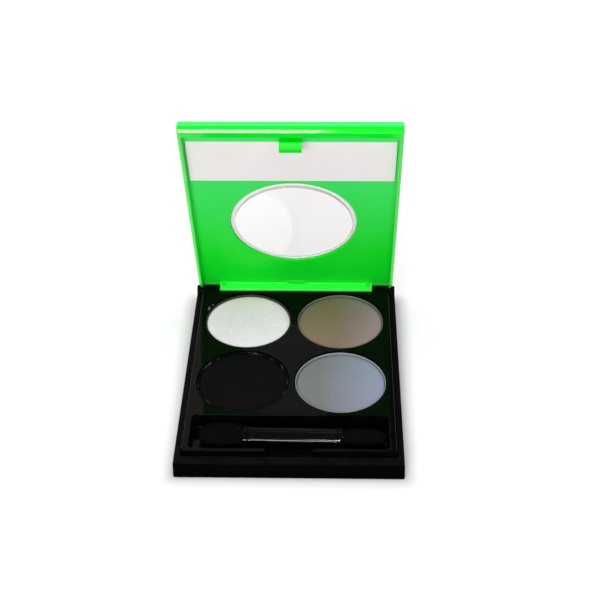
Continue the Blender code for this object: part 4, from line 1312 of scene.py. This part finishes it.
class PALETTE_OT_stage(bpy.types.Operator):
    """Set the floor, the soft lights and the camera"""

    bl_idname = "palette.stage"
    bl_label = "Stage"

    def seen(self, tree):
        """One for rays from the camera, a gloss or a glass, else nought; and the same for glass alone."""
        path = add(tree, "ShaderNodeLightPath").outputs
        first = figure(tree, "MAXIMUM", path["Is Camera Ray"], path["Is Glossy Ray"])
        through = path["Is Transmission Ray"]
        return figure(tree, "MAXIMUM", first, through), through

    def white_lift(self, tree, stage):
        """White added to the floor as it is seen: little beside the palette, which paints shade round its
        foot on top of the real shadow, and more far away.
        """
        past = vector(tree, "SUBTRACT", vector(tree, "ABSOLUTE", own_place(tree)), BASE_HIGH)
        away = vector(tree, "LENGTH", vector(tree, "MAXIMUM", past, (0.0, 0.0, 0.0)))
        # Painted shade: no white is added right beside the palette, so the floor is darker there than its
        # light makes it.
        lift_with_painted_shade = spread(tree, away, 0.0, stage.lift, 0.0, 5 * MM)
        far = spread(tree, away, 0.0, stage.far_lift, 20 * MM, 350 * MM)
        seen, through = self.seen(tree)
        lift = figure(tree, "MULTIPLY", seen, figure(tree, "ADD", lift_with_painted_shade, far))
        return figure(tree, "MULTIPLY_ADD", through, stage.through, lift)

    def floor(self, stage, tones):
        """A wide pale floor that stays white to the eye and keeps the shadow."""
        shape = bmesh.new()
        bmesh.ops.create_grid(shape, x_segments=8, y_segments=8, size=FLOOR_HALF)
        floor = as_object("studio_floor", shape)
        finish = bpy.data.materials.new("studio_floor")
        finish.use_nodes = True
        tree = finish.node_tree
        tree.nodes.clear()
        matt = add(tree, "ShaderNodeBsdfDiffuse", {"Color": (*tones.floor, 1.0)})
        glow = add(tree, "ShaderNodeEmission", {"Color": (1.0, 1.0, 1.0, 1.0),
                                                "Strength": self.white_lift(tree, stage)})
        both = add(tree, "ShaderNodeAddShader", {0: matt.outputs[0], 1: glow.outputs[0]})
        add(tree, "ShaderNodeOutputMaterial", {"Surface": both.outputs[0]})
        floor.data.materials.append(finish)

    def sky(self, stage):
        """Even light from all round, with a white backdrop that dims overhead where it is seen."""
        world = bpy.data.worlds.new("studio")
        bpy.context.scene.world = world
        world.use_nodes = True
        tree = world.node_tree
        back = tree.nodes["Background"].inputs
        back["Color"].default_value = (1.0, 1.0, 1.0, 1.0)
        aim = add(tree, "ShaderNodeTexCoord").outputs["Generated"]
        height = add(tree, "ShaderNodeSeparateXYZ", {0: aim}).outputs["Z"]
        backdrop = spread(tree, height, 1.0, stage.gloss_sky, 0.2, 0.45)
        seen, through = self.seen(tree)
        sight = figure(tree, "MAXIMUM", backdrop, through)
        light = add(tree, "ShaderNodeMix", {0: seen, 2: stage.sky, 3: sight}).outputs[0]
        tree.links.new(light, back["Strength"])

    def light(self, name, tone, power, place, size, glints=True, lights=True, only=None):
        """A rectangular light on the palette. It may leave no glints, or only glints, or light one piece."""
        lamp = bpy.data.lights.new(name, "AREA")
        lamp.shape = "RECTANGLE"
        lamp.size, lamp.size_y = size
        lamp.energy = power
        lamp.color = tone
        thing = bpy.data.objects.new(name, lamp)
        bpy.context.scene.collection.objects.link(thing)
        thing.location = place
        thing.rotation_euler = (LIGHT_AIM - Vector(place)).to_track_quat("-Z", "Y").to_euler()
        thing.visible_camera = False
        thing.visible_glossy = glints
        thing.visible_diffuse = lights
        if only:
            shown = bpy.data.collections.new(name)
            shown.objects.link(bpy.data.objects[only])
            thing.light_linking.receiver_collection = shown

    def camera(self, stage):
        """The camera at the photographed angle."""
        pitch, yaw, roll = stage.pitch, stage.yaw, stage.roll
        ahead = Vector((sin(yaw) * cos(pitch), cos(yaw) * cos(pitch), -sin(pitch)))
        right = Vector((cos(yaw), -sin(yaw), 0.0))
        up = right.cross(ahead)
        rolled_right = right * cos(roll) + up * sin(roll)
        rolled_up = up * cos(roll) - right * sin(roll)
        lens = bpy.data.cameras.new("studio_camera")
        lens.sensor_width = SENSOR
        lens.lens = stage.lens
        lens.clip_start = 0.01
        eye = bpy.data.objects.new("studio_camera", lens)
        bpy.context.scene.collection.objects.link(eye)
        turn = Matrix((rolled_right, rolled_up, -ahead)).transposed().to_4x4()
        eye.matrix_world = Matrix.Translation(Vector(stage.eye)) @ turn
        bpy.context.scene.camera = eye

    def execute(self, context):
        stage = context.scene.palette_stage
        tones = context.scene.palette_colours
        self.floor(stage, tones)
        self.sky(stage)
        self.light("key_light", tones.key, stage.key_power, (-0.158, -0.72, 0.36), (0.33, 0.16))
        self.light("cool_light", tones.cool, stage.cool_power, (0.02, -0.5, 0.5), (0.007, 0.16),
                   lights=False, only=HANDLE)
        self.light("fill_light", tones.soft, stage.fill_power, (0.0, -1.3, 0.55), (1.4, 0.9), glints=False)
        self.light("top_light", tones.soft, stage.top_power, (0.0, -0.1, 1.0), (1.0, 0.8), glints=False)
        self.light("left_card", tones.key, stage.card_power, (-0.19, 0.5, 0.43), (0.26, 0.5), lights=False)
        self.camera(stage)
        context.scene.view_settings.view_transform = "Standard"
        return {"FINISHED"}


class PALETTE_PT_panel(bpy.types.Panel):
    """Lists the builders of the palette"""

    bl_label = "Eyeshadow palette"
    bl_idname = "PALETTE_PT_panel"
    bl_space_type = "VIEW_3D"
    bl_region_type = "UI"
    bl_category = "Palette"

    def draw(self, context):
        for builder in BUILDERS:
            self.layout.operator(builder.bl_idname)


GROUPS = {
    "palette_base": PaletteBaseSizes,
    "palette_lid": PaletteLidSizes,
    "palette_applicator": PaletteApplicatorSizes,
    "palette_colours": PaletteColours,
    "palette_stage": PaletteStage,
}
BUILDERS = (PALETTE_OT_base_shell, PALETTE_OT_tray, PALETTE_OT_pans, PALETTE_OT_powders,
            PALETTE_OT_lid_shell, PALETTE_OT_window, PALETTE_OT_mirror, PALETTE_OT_hidden,
            PALETTE_OT_applicator, PALETTE_OT_stage)


def register():
    for group in GROUPS.values():
        bpy.utils.register_class(group)
    for name, group in GROUPS.items():
        setattr(bpy.types.Scene, name, PointerProperty(type=group))
    for builder in BUILDERS:
        bpy.utils.register_class(builder)
    bpy.utils.register_class(PALETTE_PT_panel)


def unregister():
    bpy.utils.unregister_class(PALETTE_PT_panel)
    for builder in reversed(BUILDERS):
        bpy.utils.unregister_class(builder)
    for name in GROUPS:
        delattr(bpy.types.Scene, name)
    for group in reversed(list(GROUPS.values())):
        bpy.utils.unregister_class(group)


def main():
    """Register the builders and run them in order."""
    register()
    for builder in BUILDERS:
        family, name = builder.bl_idname.split(".")
        getattr(getattr(bpy.ops, family), name)()


if __name__ == "__main__":
    main()
